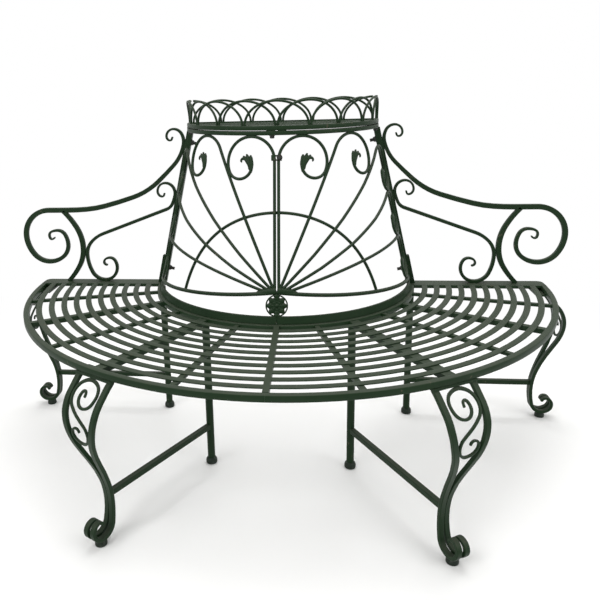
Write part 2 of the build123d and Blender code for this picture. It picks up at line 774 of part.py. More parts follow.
def arms(post):
    """The right arm: top rail with its scrolls, bowed support and S-scroll, and the seat's tab."""
    arm_plane = Plane.XZ.offset((END_BAR_W - ARM_DEPTH) / 2)
    rail_z = TOP_BAND_Z - ARM_RAIL_DROP
    scroll_z = SEAT_TOP + ARM_SCROLL_RISE
    rail_curl = [
        (33, 25, -70, 5),
        (41, 14, 0, 5.5),
        (51.5, 26, 90, 6),
        (29, 48, 180, 7),
        (0, 0, 270 + BACK_LEAN, 9),
        (84, -111, 318, 11),
    ]
    rail_scroll = [
        (-222, 244, 346, 12),
        (-102, 232, 360, 12),
        (-37, 232, 360, 12),
        (46, 149, 270, 12),
        (-25, 65, 180, 11),
        (-91, 123, 90, 9),
        (-60, 168, 0, 7),
        (-31, 151, -90, 6),
        (-39, 139, -180, 5),
        (-47, 146, -270, 5),
    ]
    support_run = [
        (-84, 231, 225, 10),
        (-141, 114, 270, 13),
        (-76, -6, 316, 10),
    ]
    upper_curl = [
        (32.5, 7, -80, 5),
        (39.5, -4, 0, 5.5),
        (54, 12, 90, 6),
        (28.5, 38, 180, 7),
        (0, 0, 270 + BACK_LEAN, 9),
        (28.5, -44, 340, 9),
    ]
    lower_curl = [
        (-210, 157, 340, 9),
        (-149.6, 86, 270, 9),
        (-205, 4.4, 180, 9),
        (-247, 48, 90, 8),
        (-225, 78, 0, 7),
        (-205, 63, -90, 6),
        (-216, 54, -180, 5),
    ]
    rail_outline = ribbon(
        moved(rail_curl, post_face(rail_z) + ARM_TOUCH, rail_z) + moved(rail_scroll, rim_face, SEAT_TOP)
    )
    support_outline = ribbon(moved(support_run, rim_face, SEAT_TOP))
    scroll_outline = ribbon(
        moved(upper_curl, post_face(scroll_z) + ARM_TOUCH, scroll_z) + moved(lower_curl, rim_face, SEAT_TOP)
    )
    with BuildPart() as rail:
        with BuildSketch(arm_plane):
            add(rail_outline)
        extrude(amount=ARM_DEPTH)
        add(post, mode=Mode.SUBTRACT)
    with BuildPart() as support:
        with BuildSketch(arm_plane):
            add(support_outline)
        extrude(amount=ARM_DEPTH)
        add(rail.part, mode=Mode.SUBTRACT)
        with Locations((0, 0, SEAT_TOP)):
            Box(big, big, big, align=(Align.CENTER, Align.CENTER, Align.MIN), mode=Mode.INTERSECT)
    with BuildPart() as scroll:
        with BuildSketch(arm_plane):
            add(scroll_outline)
        extrude(amount=ARM_DEPTH)
        for piece in (post, rail.part, support.part):
            add(piece, mode=Mode.SUBTRACT)
        with Locations((0, 0, SEAT_TOP)):
            Box(big, big, big, align=(Align.CENTER, Align.CENTER, Align.MIN), mode=Mode.INTERSECT)
    with BuildPart() as tab:
        with BuildSketch(Plane.XZ):
            foot = post_face(SEAT_TOP)
            head = post_face(SEAT_TOP + TAB_H)
            Polygon(
                (foot, SEAT_TOP),
                (foot + TAB_T, SEAT_TOP),
                (head + TAB_T, SEAT_TOP + TAB_H),
                (head, SEAT_TOP + TAB_H),
                align=None,
            )
        extrude(amount=END_BAR_W)
    save_pair("arm_rail", rail.part)
    save_pair("arm_support", support.part)
    save_pair("arm_scroll", scroll.part)
    save_pair("seat_tab", tab.part)


os.makedirs("parts", exist_ok=True)
seat()
legs()
post, centre_rod, low, band = back()
rosette(low, band)
rod_clip(centre_rod)
gallery()
arms(post)
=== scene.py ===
"""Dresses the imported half-round garden bench with smooth bars and rods, ornaments, fasteners and paint."""

import logging
from dataclasses import dataclass
from enum import Enum
from math import asin, atan2, ceil, cos, degrees, hypot, pi, radians, sin, sqrt, tan, tau
from typing import Callable, Sequence

import bmesh
import bpy
from bmesh.types import BMesh
from bpy.types import Curve, Material, Mesh, NodeSocket, NodeTree, Object, World
from mathutils import Matrix, Vector

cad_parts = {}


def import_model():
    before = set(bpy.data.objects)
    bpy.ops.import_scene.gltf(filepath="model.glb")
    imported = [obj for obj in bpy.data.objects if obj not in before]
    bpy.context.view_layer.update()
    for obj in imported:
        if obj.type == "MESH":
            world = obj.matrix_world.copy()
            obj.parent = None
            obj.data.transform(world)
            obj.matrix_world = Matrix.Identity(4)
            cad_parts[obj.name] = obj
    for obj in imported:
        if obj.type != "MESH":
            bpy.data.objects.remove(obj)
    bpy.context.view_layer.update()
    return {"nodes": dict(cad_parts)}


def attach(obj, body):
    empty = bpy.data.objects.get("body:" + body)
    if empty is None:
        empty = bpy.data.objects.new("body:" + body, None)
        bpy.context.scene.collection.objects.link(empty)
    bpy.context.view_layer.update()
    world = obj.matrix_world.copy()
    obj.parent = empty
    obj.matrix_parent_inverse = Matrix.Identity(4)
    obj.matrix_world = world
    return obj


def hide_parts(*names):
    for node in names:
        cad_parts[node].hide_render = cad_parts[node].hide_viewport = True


MM = 0.001
BODY = "root"
WHITE = (1, 1, 1, 1)
Colour = tuple[float, float, float, float]
Rows = tuple[tuple[float, ...], ...]
Placing = Callable[[float, float, float], Vector]
log = logging.getLogger("garden_bench")


class Side(Enum):
    """The two mirrored halves of the bench, as the viewer sees them."""

    LEFT = -1
    RIGHT = 1

    @property
    def label(self) -> str:
        """Word used in the names of this half's nodes."""
        return self.name.lower()


class Slot(Enum):
    """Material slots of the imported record."""

    PAINT = "green_paint"
    FOOT = "foot_plastic"


def stops(first: float, last: float, count: int) -> list[float]:
    """Values at even steps from one to another, with both ends."""
    return [first + (last - first) * i / count for i in range(count + 1)]


def round_turns(count: int) -> list[float]:
    """Angles at even steps round a full turn."""
    return [tau * i / count for i in range(count)]


@dataclass(frozen=True)
class BenchSizes:
    """Driving sizes of the bench in millimetres, measured from the middle of its straight back edge."""

    middle_y: float = 369
    seat_top: float = 437
    seat_bottom: float = 421
    outer_rim_r: float = 774.5
    inner_rim_r: float = 389
    slat_count: int = 10
    slat_pitch: float = 34.7
    slat_width: float = 16.5
    slat_thickness: float = 3
    rim_width: float = 15
    centre_bar: float = 7
    end_bar: float = 15
    back_base_r: float = 384
    back_lean: float = radians(13)
    post_width: float = 18
    top_band_z: float = 910
    top_band_r: float = 273.53
    gallery_bottom: float = 922.5
    gallery_top: float = 934.5
    strap_y: float = 427.4
    strap_depth: float = 7
    arc_step: float = radians(1.5)

    @property
    def apex_reach(self) -> float:
        """Distance from the foot of the back to the tip of its cone, along the slope."""
        return self.back_base_r / sin(self.back_lean)

    @property
    def facing(self) -> Vector:
        """Direction in which the middle of the back looks."""
        return Vector((0, -cos(self.back_lean), sin(self.back_lean)))

    @property
    def rising(self) -> Vector:
        """Direction up the middle of the back."""
        return Vector((0, sin(self.back_lean), cos(self.back_lean)))

    def world(self, x: float, y: float, z: float) -> Vector:
        """Point of the bench in the shared frame, in metres."""
        return Vector((x, y + self.middle_y, z)) * MM

    def polar(self, radius: float, angle: float, height: float) -> Vector:
        """Point in the shared frame by its angle from the front, positive to the viewer's right."""
        return self.world(radius * sin(angle), -radius * cos(angle), height)

    def level_arc(
        self, radius: float, height: float, side: Side, before: float = 0, after: float = 0
    ) -> list[Vector]:
        """Level quarter arc of one half, from the centre line to the back edge.

        Args:
            radius: the arc's radius.
            height: its height above the floor.
            side: the half it belongs to.
            before: how far from the centre line it begins.
            after: how far from the back edge it ends.

        Returns:
            Points in metres.
        """
        first = asin(before / radius)
        last = pi / 2 - asin(after / radius)
        count = ceil((last - first) / self.arc_step)
        return [self.polar(radius, side.value * a, height) for a in stops(first, last, count)]

    def back_radius(self, height: float) -> float:
        """Radius of the back's middle surface at a height."""
        return self.back_base_r - tan(self.back_lean) * (height - self.seat_top)

    def post_face(self, height: float) -> float:
        """Distance of a post's outer face from the centre plane at a height."""
        return self.back_radius(height) + self.post_width / 2 / cos(self.back_lean)

    def rolled(self, x: float, y: float, inset: float = 0) -> Vector:
        """Point of the flat back panel after it is rolled on its cone.

        Args:
            x: distance from the panel's centre line.
            y: distance up from the foot of the centre line.
            inset: how far the point lies behind the panel's middle surface.

        Returns:
            The point in millimetres, still measured from the back edge.
        """
        reach = hypot(x, self.apex_reach - y)
        angle = atan2(x, self.apex_reach - y) / sin(self.back_lean)
        radius = reach * sin(self.back_lean) - inset * cos(self.back_lean)
        height = self.seat_top + (self.apex_reach - reach) * cos(self.back_lean)
        height -= inset * sin(self.back_lean)
        return Vector((radius * sin(angle), -radius * cos(angle), height))


@dataclass(frozen=True)
class Station:
    """Place on a bent bar: a point, the way the bar runs there and its width, in millimetres."""

    point: Vector
    heading: Vector
    width: float = 0.0

    @property
    def edges(self) -> tuple[Vector, Vector]:
        """Points on the two edges of a flat bar at this place."""
        side = Vector((-self.heading.y, self.heading.x)) * (self.width / 2)
        return self.point + side, self.point - side


def station(x: float, y: float, heading: float, width: float = 0.0) -> Station:
    """Station in a plane, its heading in degrees from the plane's first axis."""
    angle = radians(heading)
    return Station(Vector((x, y)), Vector((cos(angle), sin(angle))), width)


class BentPath:
    """Smooth run of tangent arcs through a few stations, sampled finely."""

    turn_step = radians(5)
    least_turn = 1e-6
    least_bend = 1e-4

    def __init__(self, stations: Sequence[Station]) -> None:
        """Samples the run through the stations, in order.

        Args:
            stations: the places that the bar passes.
        """
        self.samples = [stations[0]]
        for first, last in zip(stations, stations[1:]):
            self._join(first, last)

    @classmethod
    def through(cls, *rows: tuple[float, ...]) -> "BentPath":
        """Run through rows of two coordinates, a heading in degrees and, for a flat bar, a width."""
        return cls([station(*row) for row in rows])

    def _join(self, first: Station, last: Station) -> None:
        """Adds the two arcs between neighbouring stations.

        Args:
            first: the station before.
            last: the station after.
        """
        chord = last.point - first.point
        turn = 2 * (1 - first.heading.dot(last.heading))
        along = chord.dot(first.heading + last.heading)
        if turn < self.least_turn:
            reach = chord.dot(chord) / (2 * along)
        else:
            reach = (sqrt(along**2 + turn * chord.dot(chord)) - along) / turn
        before = first.point + first.heading * reach
        after = last.point - last.heading * reach
        width = (first.width + last.width) / 2
        joint = Station((before + after) / 2, (after - before).normalized(), width)
        self._arc(first, joint)
        self._arc(joint, last)

    def _arc(self, first: Station, last: Station) -> None:
        """Adds samples of the arc that leaves one station along its heading and ends at another.

        Args:
            first: where the arc begins.
            last: where it ends.
        """
        chord = last.point - first.point
        bend = first.heading.angle(chord)
        if bend < self.least_bend:
            self.samples.append(last)
            return
        inward = (chord - first.heading * chord.dot(first.heading)).normalized()
        radius = chord.length / (2 * sin(bend))
        count = max(2, ceil(2 * bend / self.turn_step))
        for i in range(1, count + 1):
            share = i / count
            angle = 2 * bend * share
            point = first.point + first.heading * (radius * sin(angle))
            point = point + inward * (radius * (1 - cos(angle)))
            heading = first.heading * cos(angle) + inward * sin(angle)
            width = first.width + (last.width - first.width) * share
            self.samples.append(Station(point, heading, width))

    def spaced(self, least: float = 2.4) -> list[Station]:
        """Samples without the crowded ones, so that rounded edges have room.

        Args:
            least: smallest distance between two samples, in millimetres.

        Returns:
            The samples that are left, with both ends.
        """
        end = self.samples[-1]
        kept = [self.samples[0]]
        for place in self.samples[1:-1]:
            if min((place.point - other.point).length for other in (kept[-1], end)) >= least:
                kept.append(place)
        return [*kept, end]


# Node trees


class Field:
    """Output socket of a node, with arithmetic that adds Math nodes."""

    def __init__(self, nodes: "Nodes", socket: NodeSocket) -> None:
        """Wraps a socket of a tree."""
        self.nodes = nodes
        self.socket = socket

    def _math(self, operation: str, first: "Field | float", second: "Field | float") -> "Field":
        """Math node on two values, one of which may be a plain number."""
        return self.nodes.node("ShaderNodeMath", {"operation": operation}, {0: first, 1: second})

    def __add__(self, other: "Field | float") -> "Field":
        """Sum of two values."""
        return self._math("ADD", self, other)

    def __radd__(self, other: float) -> "Field":
        """Sum with a number on the left."""
        return self._math("ADD", other, self)

    def __sub__(self, other: "Field | float") -> "Field":
        """Difference of two values."""
        return self._math("SUBTRACT", self, other)

    def __rsub__(self, other: float) -> "Field":
        """Difference from a number on the left."""
        return self._math("SUBTRACT", other, self)

    def __mul__(self, other: "Field | float") -> "Field":
        """Product of two values."""
        return self._math("MULTIPLY", self, other)

    def __rmul__(self, other: float) -> "Field":
        """Product with a number on the left."""
        return self._math("MULTIPLY", other, self)

    def most(self, other: "Field") -> "Field":
        """Larger of two values."""
        return self._math("MAXIMUM", self, other)

    def above(self, low: float, high: float) -> "Field":
        """Smooth step from 0 to 1 between two limits."""
        limits = {"Value": self, "From Min": low, "From Max": high}
        return self.nodes.node("ShaderNodeMapRange", {"interpolation_type": "SMOOTHSTEP"}, limits)


class Nodes:
    """Node tree while it is being built."""

    def __init__(self, tree: NodeTree) -> None:
        """Takes over a tree."""
        self.tree = tree

    def node(
        self,
        kind: str,
        settings: dict[str, object] | None = None,
        inputs: dict[str | int, object] | None = None,
        output: str | int = 0,
    ) -> Field:
        """Adds a node and feeds its sockets.

        Args:
            kind: the node's type.
            settings: the node's own options, set before its sockets.
            inputs: values, fields or lists of fields by socket name or place.
            output: name or place of the socket to go on from.

        Returns:
            The chosen output.
        """
        node = self.tree.nodes.new(kind)
        for option, value in (settings or {}).items():
            setattr(node, option, value)
        for key, value in (inputs or {}).items():
            for part in value if isinstance(value, list) else [value]:
                if isinstance(part, Field):
                    self.tree.links.new(part.socket, node.inputs[key])
                else:
                    node.inputs[key].default_value = part
        return Field(self, node.outputs[output])

    def end(self, kind: str, socket: str, last: Field) -> None:
        """Links the last field to a socket of a new output node."""
        self.tree.links.new(last.socket, self.tree.nodes.new(kind).inputs[socket])


class Shader(Nodes):
    """Node tree of one material, or of the surround."""

    bump = 0.5
    up_limits = (0.25, 0.95)

    def __init__(self, owner: Material | World) -> None:
        """Starts an empty tree for a material or a world.

        Args:
            owner: what the tree belongs to.
        """
        owner.use_nodes = True
        super().__init__(owner.node_tree)
        self.owner = owner
        self.tree.nodes.clear()

    @classmethod
    def material(cls, name: str) -> "Shader":
        """Tree of a new material."""
        return cls(bpy.data.materials.new(name))

    def coordinates(self) -> Field:
        """Object coordinates, which stay with the piece."""
        return self.node("ShaderNodeTexCoord", output="Object")

    def noise(self, scale: float, detail: float, vector: Field | None = None) -> Field:
        """Noise value between about 0 and 1.

        Args:
            scale: grains per metre.
            detail: number of finer layers.
            vector: coordinates, where they aren't the plain object ones.

        Returns:
            The noise value.
        """
        where = vector or self.coordinates()
        return self.node("ShaderNodeTexNoise", None, {"Vector": where, "Scale": scale, "Detail": detail})

    def stretched(self, scale: tuple[float, float, float]) -> Field:
        """Object coordinates stretched along the axes."""
        return self.node("ShaderNodeMapping", None, {"Vector": self.coordinates(), "Scale": scale})

    def mix(self, share: Field, first: object, second: object) -> Field:
        """Mix of two colours.

        Args:
            share: how much of the second colour shows.
            first: colour, or field with one.
            second: colour, or field with one.

        Returns:
            The mixed colour.
        """
        options = {"data_type": "RGBA", "clamp_factor": True}
        colour_a, colour_b, result = 6, 7, 2
        return self.node("ShaderNodeMix", options, {0: share, colour_a: first, colour_b: second}, result)

    def upward(self) -> Field:
        """1 on faces that look up, 0 on upright ones and below."""
        normal = self.node("ShaderNodeNewGeometry", output="Normal")
        return self.node("ShaderNodeSeparateXYZ", None, {0: normal}, "Z").above(*self.up_limits)

    def coated(self, colour: Field, roughness: Field, grain: Field, depth: float, **fixed: float) -> Field:
        """Surface shader of a finish.

        Args:
            colour: base colour.
            roughness: roughness value.
            grain: height of the fine relief.
            depth: depth of that relief in metres.
            fixed: settings that are the same all over, named by socket with underscores.

        Returns:
            The shader.
        """
        heights = {"Strength": self.bump, "Distance": depth, "Height": grain}
        relief = self.node("ShaderNodeBump", None, heights)
        sockets = {"Base Color": colour, "Roughness": roughness, "Normal": relief}
        sockets.update({name.replace("_", " "): value for name, value in fixed.items()})
        return self.node("ShaderNodeBsdfPrincipled", None, sockets)

    def seen(self) -> Field:
        """1 for rays from the camera, a mirror or glass, 0 for rays that only carry light.

        Returns:
            The value for each ray.
        """
        ray = self.node("ShaderNodeLightPath", output="Is Camera Ray")
        for kind in ("Is Glossy Ray", "Is Transmission Ray"):
            ray = ray.most(self.node("ShaderNodeLightPath", output=kind))
        return ray

    def close(self, surface: Field) -> Material | World:
        """Ends the tree in a surface shader and returns what it belongs to.

        Args:
            surface: the last shader.

        Returns:
            The material or world.
        """
        kind = "World" if isinstance(self.owner, World) else "Material"
        self.end(f"ShaderNodeOutput{kind}", "Surface", surface)
        return self.owner


@dataclass(frozen=True)
class PaintFinish:
    """Dark green outdoor paint on iron: mottled, lighter on top with dust and painted sky sheen, with small
    chips and weather streaks.
    """

    name: str = "dark_green_paint"
    deep: Colour = (0.005, 0.018, 0.0055, 1)
    pale: Colour = (0.013, 0.031, 0.012, 1)
    # Grey-green that upward faces turn towards: partly real dust, partly painted sky sheen
    dust_and_sheen: Colour = (0.072, 0.075, 0.060, 1)
    chip: Colour = (0.088, 0.078, 0.055, 1)
    gloss: float = 0.34
    shine: float = 0.13
    mottle_scale: float = 11
    grain_scale: float = 420
    chip_scale: float = 95
    chip_limits: tuple[float, float] = (0.61, 0.66)
    streaks: tuple[float, float, float] = (70, 70, 9)
    relief_depth: float = 0.0005

    def material(self) -> Material:
        """Builds the paint.

        Returns:
            The paint.
        """
        shader = Shader.material(self.name)
        mottle = shader.noise(self.mottle_scale, 6)
        grain = shader.noise(self.grain_scale, 3)
        streak = shader.noise(1, 4, shader.stretched(self.streaks))
        chips = (shader.noise(self.chip_scale, 8) * 0.6 + mottle * 0.4).above(*self.chip_limits)
        # Upward faces are lightened: partly dust, partly painted sheen of the sky on top faces
        dust_and_sheen_share = shader.upward() * (0.3 + 0.6 * mottle)
        body = shader.mix(mottle * 0.7 + streak * 0.3, self.deep, self.pale)
        worn = shader.mix(chips * 0.5, body, self.chip)
        colour = shader.mix(dust_and_sheen_share * 0.55, worn, self.dust_and_sheen)
        roughness = self.gloss + 0.16 * mottle + 0.2 * dust_and_sheen_share + 0.15 * chips
        relief = grain * 0.6 + streak * 0.4 - chips * 0.8
        coat = shader.coated(colour, roughness, relief, self.relief_depth, Specular_IOR_Level=self.shine)
        return shader.close(coat)


@dataclass(frozen=True)
class SpottedFinish:
    """Dull finish with spots of a second colour, as the feet and the fasteners have."""

    name: str
    body: Colour
    spot: Colour
    spot_noise: tuple[float, float]
    spot_limits: tuple[float, float]
    gloss: float
    spot_gloss: float
    grain_scale: float
    relief_depth: float
    spot_share: float = 0.7
    shine: float = 0.2

    def material(self) -> Material:
        """Builds the finish.

        Returns:
            The material.
        """
        shader = Shader.material(self.name)
        spots = shader.noise(*self.spot_noise).above(*self.spot_limits)
        colour = shader.mix(spots * self.spot_share, self.body, self.spot)
        roughness = self.gloss + self.spot_gloss * spots
        grain = shader.noise(self.grain_scale, 2)
        coat = shader.coated(colour, roughness, grain, self.relief_depth, Specular_IOR_Level=self.shine)
        return shader.close(coat)


@dataclass(frozen=True)
class FootFinish(SpottedFinish):
    """Very dark green moulded plastic of the feet, with scuffs."""

    name: str = "dark_foot_plastic"
    body: Colour = (0.010, 0.018, 0.011, 1)
    spot: Colour = (0.050, 0.058, 0.048, 1)
    spot_noise: tuple[float, float] = (130, 6)
    spot_limits: tuple[float, float] = (0.52, 0.72)
    gloss: float = 0.44
    spot_gloss: float = 0.25
    grain_scale: float = 600
    relief_depth: float = 0.0003


@dataclass(frozen=True)
class BoltFinish(SpottedFinish):
    """Blackened steel of the nuts and studs, gone dull and a little brown outdoors."""

    name: str = "blackened_steel"
    body: Colour = (0.020, 0.024, 0.021, 1)
    spot: Colour = (0.040, 0.024, 0.014, 1)
    spot_noise: tuple[float, float] = (210, 7)
    spot_limits: tuple[float, float] = (0.48, 0.66)
    gloss: float = 0.45
    spot_gloss: float = 0.3
    grain_scale: float = 900
    relief_depth: float = 0.0002


class Tree(Nodes):
    """Geometry node group."""

    def __init__(self, name: str, sizes: Sequence[str], count: str = "") -> None:
        """Starts a group with its inputs.

        Args:
            name: the group's name.
            sizes: names of its lengths.
            count: name of its whole number, if it has one.
        """
        super().__init__(bpy.data.node_groups.new(name, "GeometryNodeTree"))
        self.count = count
        self.keys: dict[str, str] = {}
        kinds = dict.fromkeys(sizes, "Float")
        if count:
            kinds[count] = "Int"
        kinds["Material"] = "Material"
        sockets = self.tree.interface
        for way in ("INPUT", "OUTPUT"):
            sockets.new_socket("Geometry", in_out=way, socket_type="NodeSocketGeometry")
        for key, kind in kinds.items():
            socket = sockets.new_socket(key, in_out="INPUT", socket_type=f"NodeSocket{kind}")
            self.keys[key] = socket.identifier
        self.entry = self.tree.nodes.new("NodeGroupInput")

    def given(self, name: str) -> Field:
        """A named input, or the geometry that comes in."""
        return Field(self, self.entry.outputs[name])

    def circle(self, radius: Field, points: int | Field) -> Field:
        """Circle about the origin."""
        shape = {"Resolution": points, "Radius": radius}
        return self.node("GeometryNodeCurvePrimitiveCircle", {"mode": "RADIUS"}, shape)

    def sweep(self, line: Field, profile: Field, capped: bool = True) -> Field:
        """Profile swept along a line."""
        parts = {"Curve": line, "Profile Curve": profile, "Fill Caps": capped}
        return self.node("GeometryNodeCurveToMesh", None, parts)

    def moved(self, geometry: Field, axis: str, distance: Field) -> Field:
        """Geometry shifted along an axis."""
        shift = self.node("ShaderNodeCombineXYZ", None, {axis: distance})
        return self.node("GeometryNodeTransform", None, {"Geometry": geometry, "Translation": shift})

    def planted(self, points: Field, instance: Field, axis: str, vector: Field) -> Field:
        """Instances on points, each with one axis along a vector.

        Args:
            points: where the instances stand.
            instance: geometry of one of them.
            axis: letter of the axis that is turned.
            vector: the way that axis points.

        Returns:
            The instances.
        """
        turn = self.node("FunctionNodeAlignRotationToVector", {"axis": axis}, {"Vector": vector})
        parts = {"Points": points, "Instance": instance, "Rotation": turn}
        return self.node("GeometryNodeInstanceOnPoints", None, parts)

    def joined(self, *parts: Field) -> Field:
        """Several geometries as one."""
        return self.node("GeometryNodeJoinGeometry", None, {"Geometry": list(parts)})

    def close(self, geometry: Field, smooth: bool = True) -> "Tree":
        """Ends the group in real, painted geometry.

        Args:
            geometry: what the group has made.
            smooth: whether its faces are shaded as one round surface.

        Returns:
            The finished group.
        """
        shading = {"Geometry": geometry, "Shade Smooth": smooth}
        shaded = self.node("GeometryNodeSetShadeSmooth", None, shading)
        real = self.node("GeometryNodeRealizeInstances", None, {"Geometry": shaded})
        finish = {"Geometry": real, "Material": self.given("Material")}
        self.end("NodeGroupOutput", "Geometry", self.node("GeometryNodeSetMaterial", None, finish))
        return self

    def apply(self, source: Object, material: Material, sizes: dict[str, float]) -> Object:
        """Runs the group on an object and keeps the result as a plain mesh.

        Args:
            source: curve or mesh that the group works on; it is used up.
            material: the finish.
            sizes: sizes in millimetres, and a count, by input name.

        Returns:
            A mesh object with the source's name.
        """
        name = source.name
        modifier = source.modifiers.new(self.tree.name, "NODES")
        modifier.node_group = self.tree
        modifier[self.keys["Material"]] = material
        for key, value in sizes.items():
            modifier[self.keys[key]] = value if key == self.count else value * MM
        bpy.context.view_layer.update()
        evaluated = source.evaluated_get(bpy.context.evaluated_depsgraph_get())
        mesh = bpy.data.meshes.new_from_object(evaluated)
        source.modifiers.clear()
        bpy.data.objects.remove(source)
        return linked(name, mesh)

    def follow(
        self, name: str, lines: Sequence[Sequence[Vector]], material: Material, **sizes: float
    ) -> Object:
        """Runs the group on lines.

        Args:
            name: the piece's name.
            lines: one list of points, in metres, for each line.
            material: the piece's finish.
            sizes: sizes in millimetres, and a count, by input name.

        Returns:
            The finished mesh object.
        """
        curve = bpy.data.curves.new(name, "CURVE")
        curve.dimensions = "3D"
        for points in lines:
            spline = curve.splines.new("POLY")
            spline.points.add(len(points) - 1)
            for place, point in zip(spline.points, points):
                place.co = (*point, 1)
        return self.apply(linked(name, curve), material, sizes)


def round_rod_tree() -> Tree:
    """Group that turns lines into round rods with closed ends.

    Returns:
        The group, with a radius and a number of sides as inputs.
    """
    tree = Tree("round_rods", ["Radius"], "Sides")
    profile = tree.circle(tree.given("Radius"), tree.given("Sides"))
    return tree.close(tree.sweep(tree.given("Geometry"), profile))


def flat_strip_tree() -> Tree:
    """Group that turns level lines into flat strips with softened edges.

    Returns:
        The group, with a width, a thickness and an edge radius as inputs.
    """
    tree = Tree("flat_strips", ["Width", "Thickness", "Edge"])
    level = tree.node("GeometryNodeSetCurveNormal", {"mode": "Z_UP"}, {"Curve": tree.given("Geometry")})
    box = {"Width": tree.given("Width"), "Height": tree.given("Thickness")}
    outline = tree.node("GeometryNodeCurvePrimitiveQuadrilateral", {"mode": "RECTANGLE"}, box)
    soft = {"Curve": outline, "Radius": tree.given("Edge"), "Count": 2}
    profile = tree.node("GeometryNodeFilletCurve", {"mode": "POLY"}, soft)
    return tree.close(tree.sweep(level, profile))


def fastener_tree() -> Tree:
    """Group that puts a washer, a hex nut and a stud's end on every point, along the point's axis.

    Returns:
        The group, with the sizes of the nut and the stud as inputs.
    """
    tree = Tree("studs_and_nuts", ["Nut", "Nut height", "Stud", "Stud length"])

    def turned(sides: int, radius: Field, name: str, share: float = 1) -> Field:
        """Closed prism or cylinder that stands on the point, as high as a share of a given size.

        Args:
            sides: number of sides.
            radius: distance of the corners from the axis.
            name: input that gives the height.
            share: share of that input.

        Returns:
            The solid.
        """
        height = tree.given(name)
        shape = {"Vertices": sides, "Radius": radius, "Depth": height * share}
        solid = tree.node("GeometryNodeMeshCylinder", {"fill_type": "NGON"}, shape, "Mesh")
        return tree.moved(solid, "Z", height * (share / 2))

    nut = turned(6, tree.given("Nut"), "Nut height")
    stud = turned(16, tree.given("Stud"), "Stud length")
    washer = turned(20, tree.given("Nut") * 1.25, "Nut height", 0.25)
    whole = tree.joined(nut, stud, washer)
    axis = tree.node("GeometryNodeInputNamedAttribute", {"data_type": "FLOAT_VECTOR"}, {"Name": "axis"})
    return tree.close(tree.planted(tree.given("Geometry"), whole, "Z", axis), smooth=False)


def rosette_tree() -> Tree:
    """Group that makes a pierced flower facing along Z: a ring, petals on a dish and a domed middle.

    Returns:
        The group, with sizes and the number of petals as inputs.
    """
    tree = Tree("rosette", ["Radius", "Ring", "Petal"], "Petals")
    radius, petal = tree.given("Radius"), tree.given("Petal")

    def ball(size: Field, scale: tuple[float, float, float]) -> Field:
        """Flattened ball.

        Args:
            size: radius before it is flattened.
            scale: stretch along each axis.

        Returns:
            The ball.
        """
        shape = {"Segments": 24, "Rings": 12, "Radius": size}
        solid = tree.node("GeometryNodeMeshUVSphere", None, shape, "Mesh")
        return tree.node("GeometryNodeTransform", None, {"Geometry": solid, "Scale": scale})

    def round_of(shape: Field, share: float) -> Field:
        """Petals set round a circle, each pointing outwards."""
        seats = tree.circle(radius * share, tree.given("Petals"))
        return tree.planted(seats, shape, "Y", tree.node("GeometryNodeInputTangent"))

    rim = tree.sweep(tree.circle(radius * 0.93, 72), tree.circle(tree.given("Ring"), 14), capped=False)
    outer = round_of(ball(petal, (1.25, 1.12, 0.5)), 0.63)
    inner = round_of(ball(petal * 0.62, (1.35, 0.95, 0.8)), 0.34)
    dish = ball(radius * 0.75, (1.0, 1.0, 0.12))
    dome = ball(radius * 0.19, (1.0, 1.0, 0.95))
    # Lumps that join the ring to the rod above and the band below
    roots = [tree.moved(ball(petal, (1.3, 1.1, 0.6)), "Y", radius * share) for share in (0.85, -0.85)]
    return tree.close(tree.joined(rim, outer, inner, dish, dome, *roots))


# Mesh helpers


def linked(name: str, data: Mesh | Curve) -> Object:
    """Object for a mesh or curve, at the origin of the scene.

    Args:
        name: the object's name.
        data: the mesh or curve, which takes that name.

    Returns:
        The object.
    """
    data.name = name
    piece = bpy.data.objects.new(name, data)
    bpy.context.scene.collection.objects.link(piece)
    return piece


def bar_mesh(mesh: BMesh, sections: Sequence[Sequence[Vector]]) -> None:
    """Adds a closed bar to a mesh.

    Args:
        mesh: the mesh to add to.
        sections: the bar's corners, in metres, at each place along it.
    """
    rows = [[mesh.verts.new(corner) for corner in section] for section in sections]
    for row, following in zip(rows, rows[1:]):
        for i in range(len(row)):
            j = (i + 1) % len(row)
            mesh.faces.new((row[i], row[j], following[j], following[i]))
    mesh.faces.new(list(reversed(rows[0])))
    mesh.faces.new(rows[-1])


def softened(name: str, mesh: BMesh, edge: float, material: Material) -> Object:
    """Object of a mesh with its sharp edges rounded.

    Args:
        name: the object's name.
        mesh: closed mesh; it is used up.
        edge: radius of the rounded edges, in millimetres.
        material: the piece's finish.

    Returns:
        The finished object.
    """
    bmesh.ops.recalc_face_normals(mesh, faces=mesh.faces)
    for face in mesh.faces:
        face.smooth = True
    data = bpy.data.meshes.new(name)
    mesh.to_mesh(data)
    mesh.free()
    data.materials.append(material)
    piece = linked(name, data)
    bevel = piece.modifiers.new("soft_edges", "BEVEL")
    bevel.width = edge * MM
    bevel.segments = 2
    bevel.limit_method = "ANGLE"
    bevel.angle_limit = radians(50)
    bevel.harden_normals = True
    return piece


def bar_piece(name: str, sections: Sequence[Sequence[Vector]], edge: float, material: Material) -> Object:
    """Object of one closed bar with rounded edges.

    Args:
        name: the object's name.
        sections: the bar's corners, in metres, at each place along it.
        edge: radius of the rounded edges, in millimetres.
        material: the piece's finish.

    Returns:
        The finished object.
    """
    mesh = bmesh.new()
    bar_mesh(mesh, sections)
    return softened(name, mesh, edge, material)


def settle(piece: Object, *nodes: str, slot: Slot = Slot.PAINT) -> None:
    """Fixes a piece to the bench in place of CAD nodes, if any are named.

    Args:
        piece: the finished piece.
        nodes: the CAD nodes that it stands for.
        slot: the record's material meant for its finish; not used.
    """
    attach(piece, BODY)
    if nodes:
        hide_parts(*nodes)
    log.info("%s stands for %s", piece.name, ", ".join(nodes) or "a detail of its own")


# Sub-assemblies


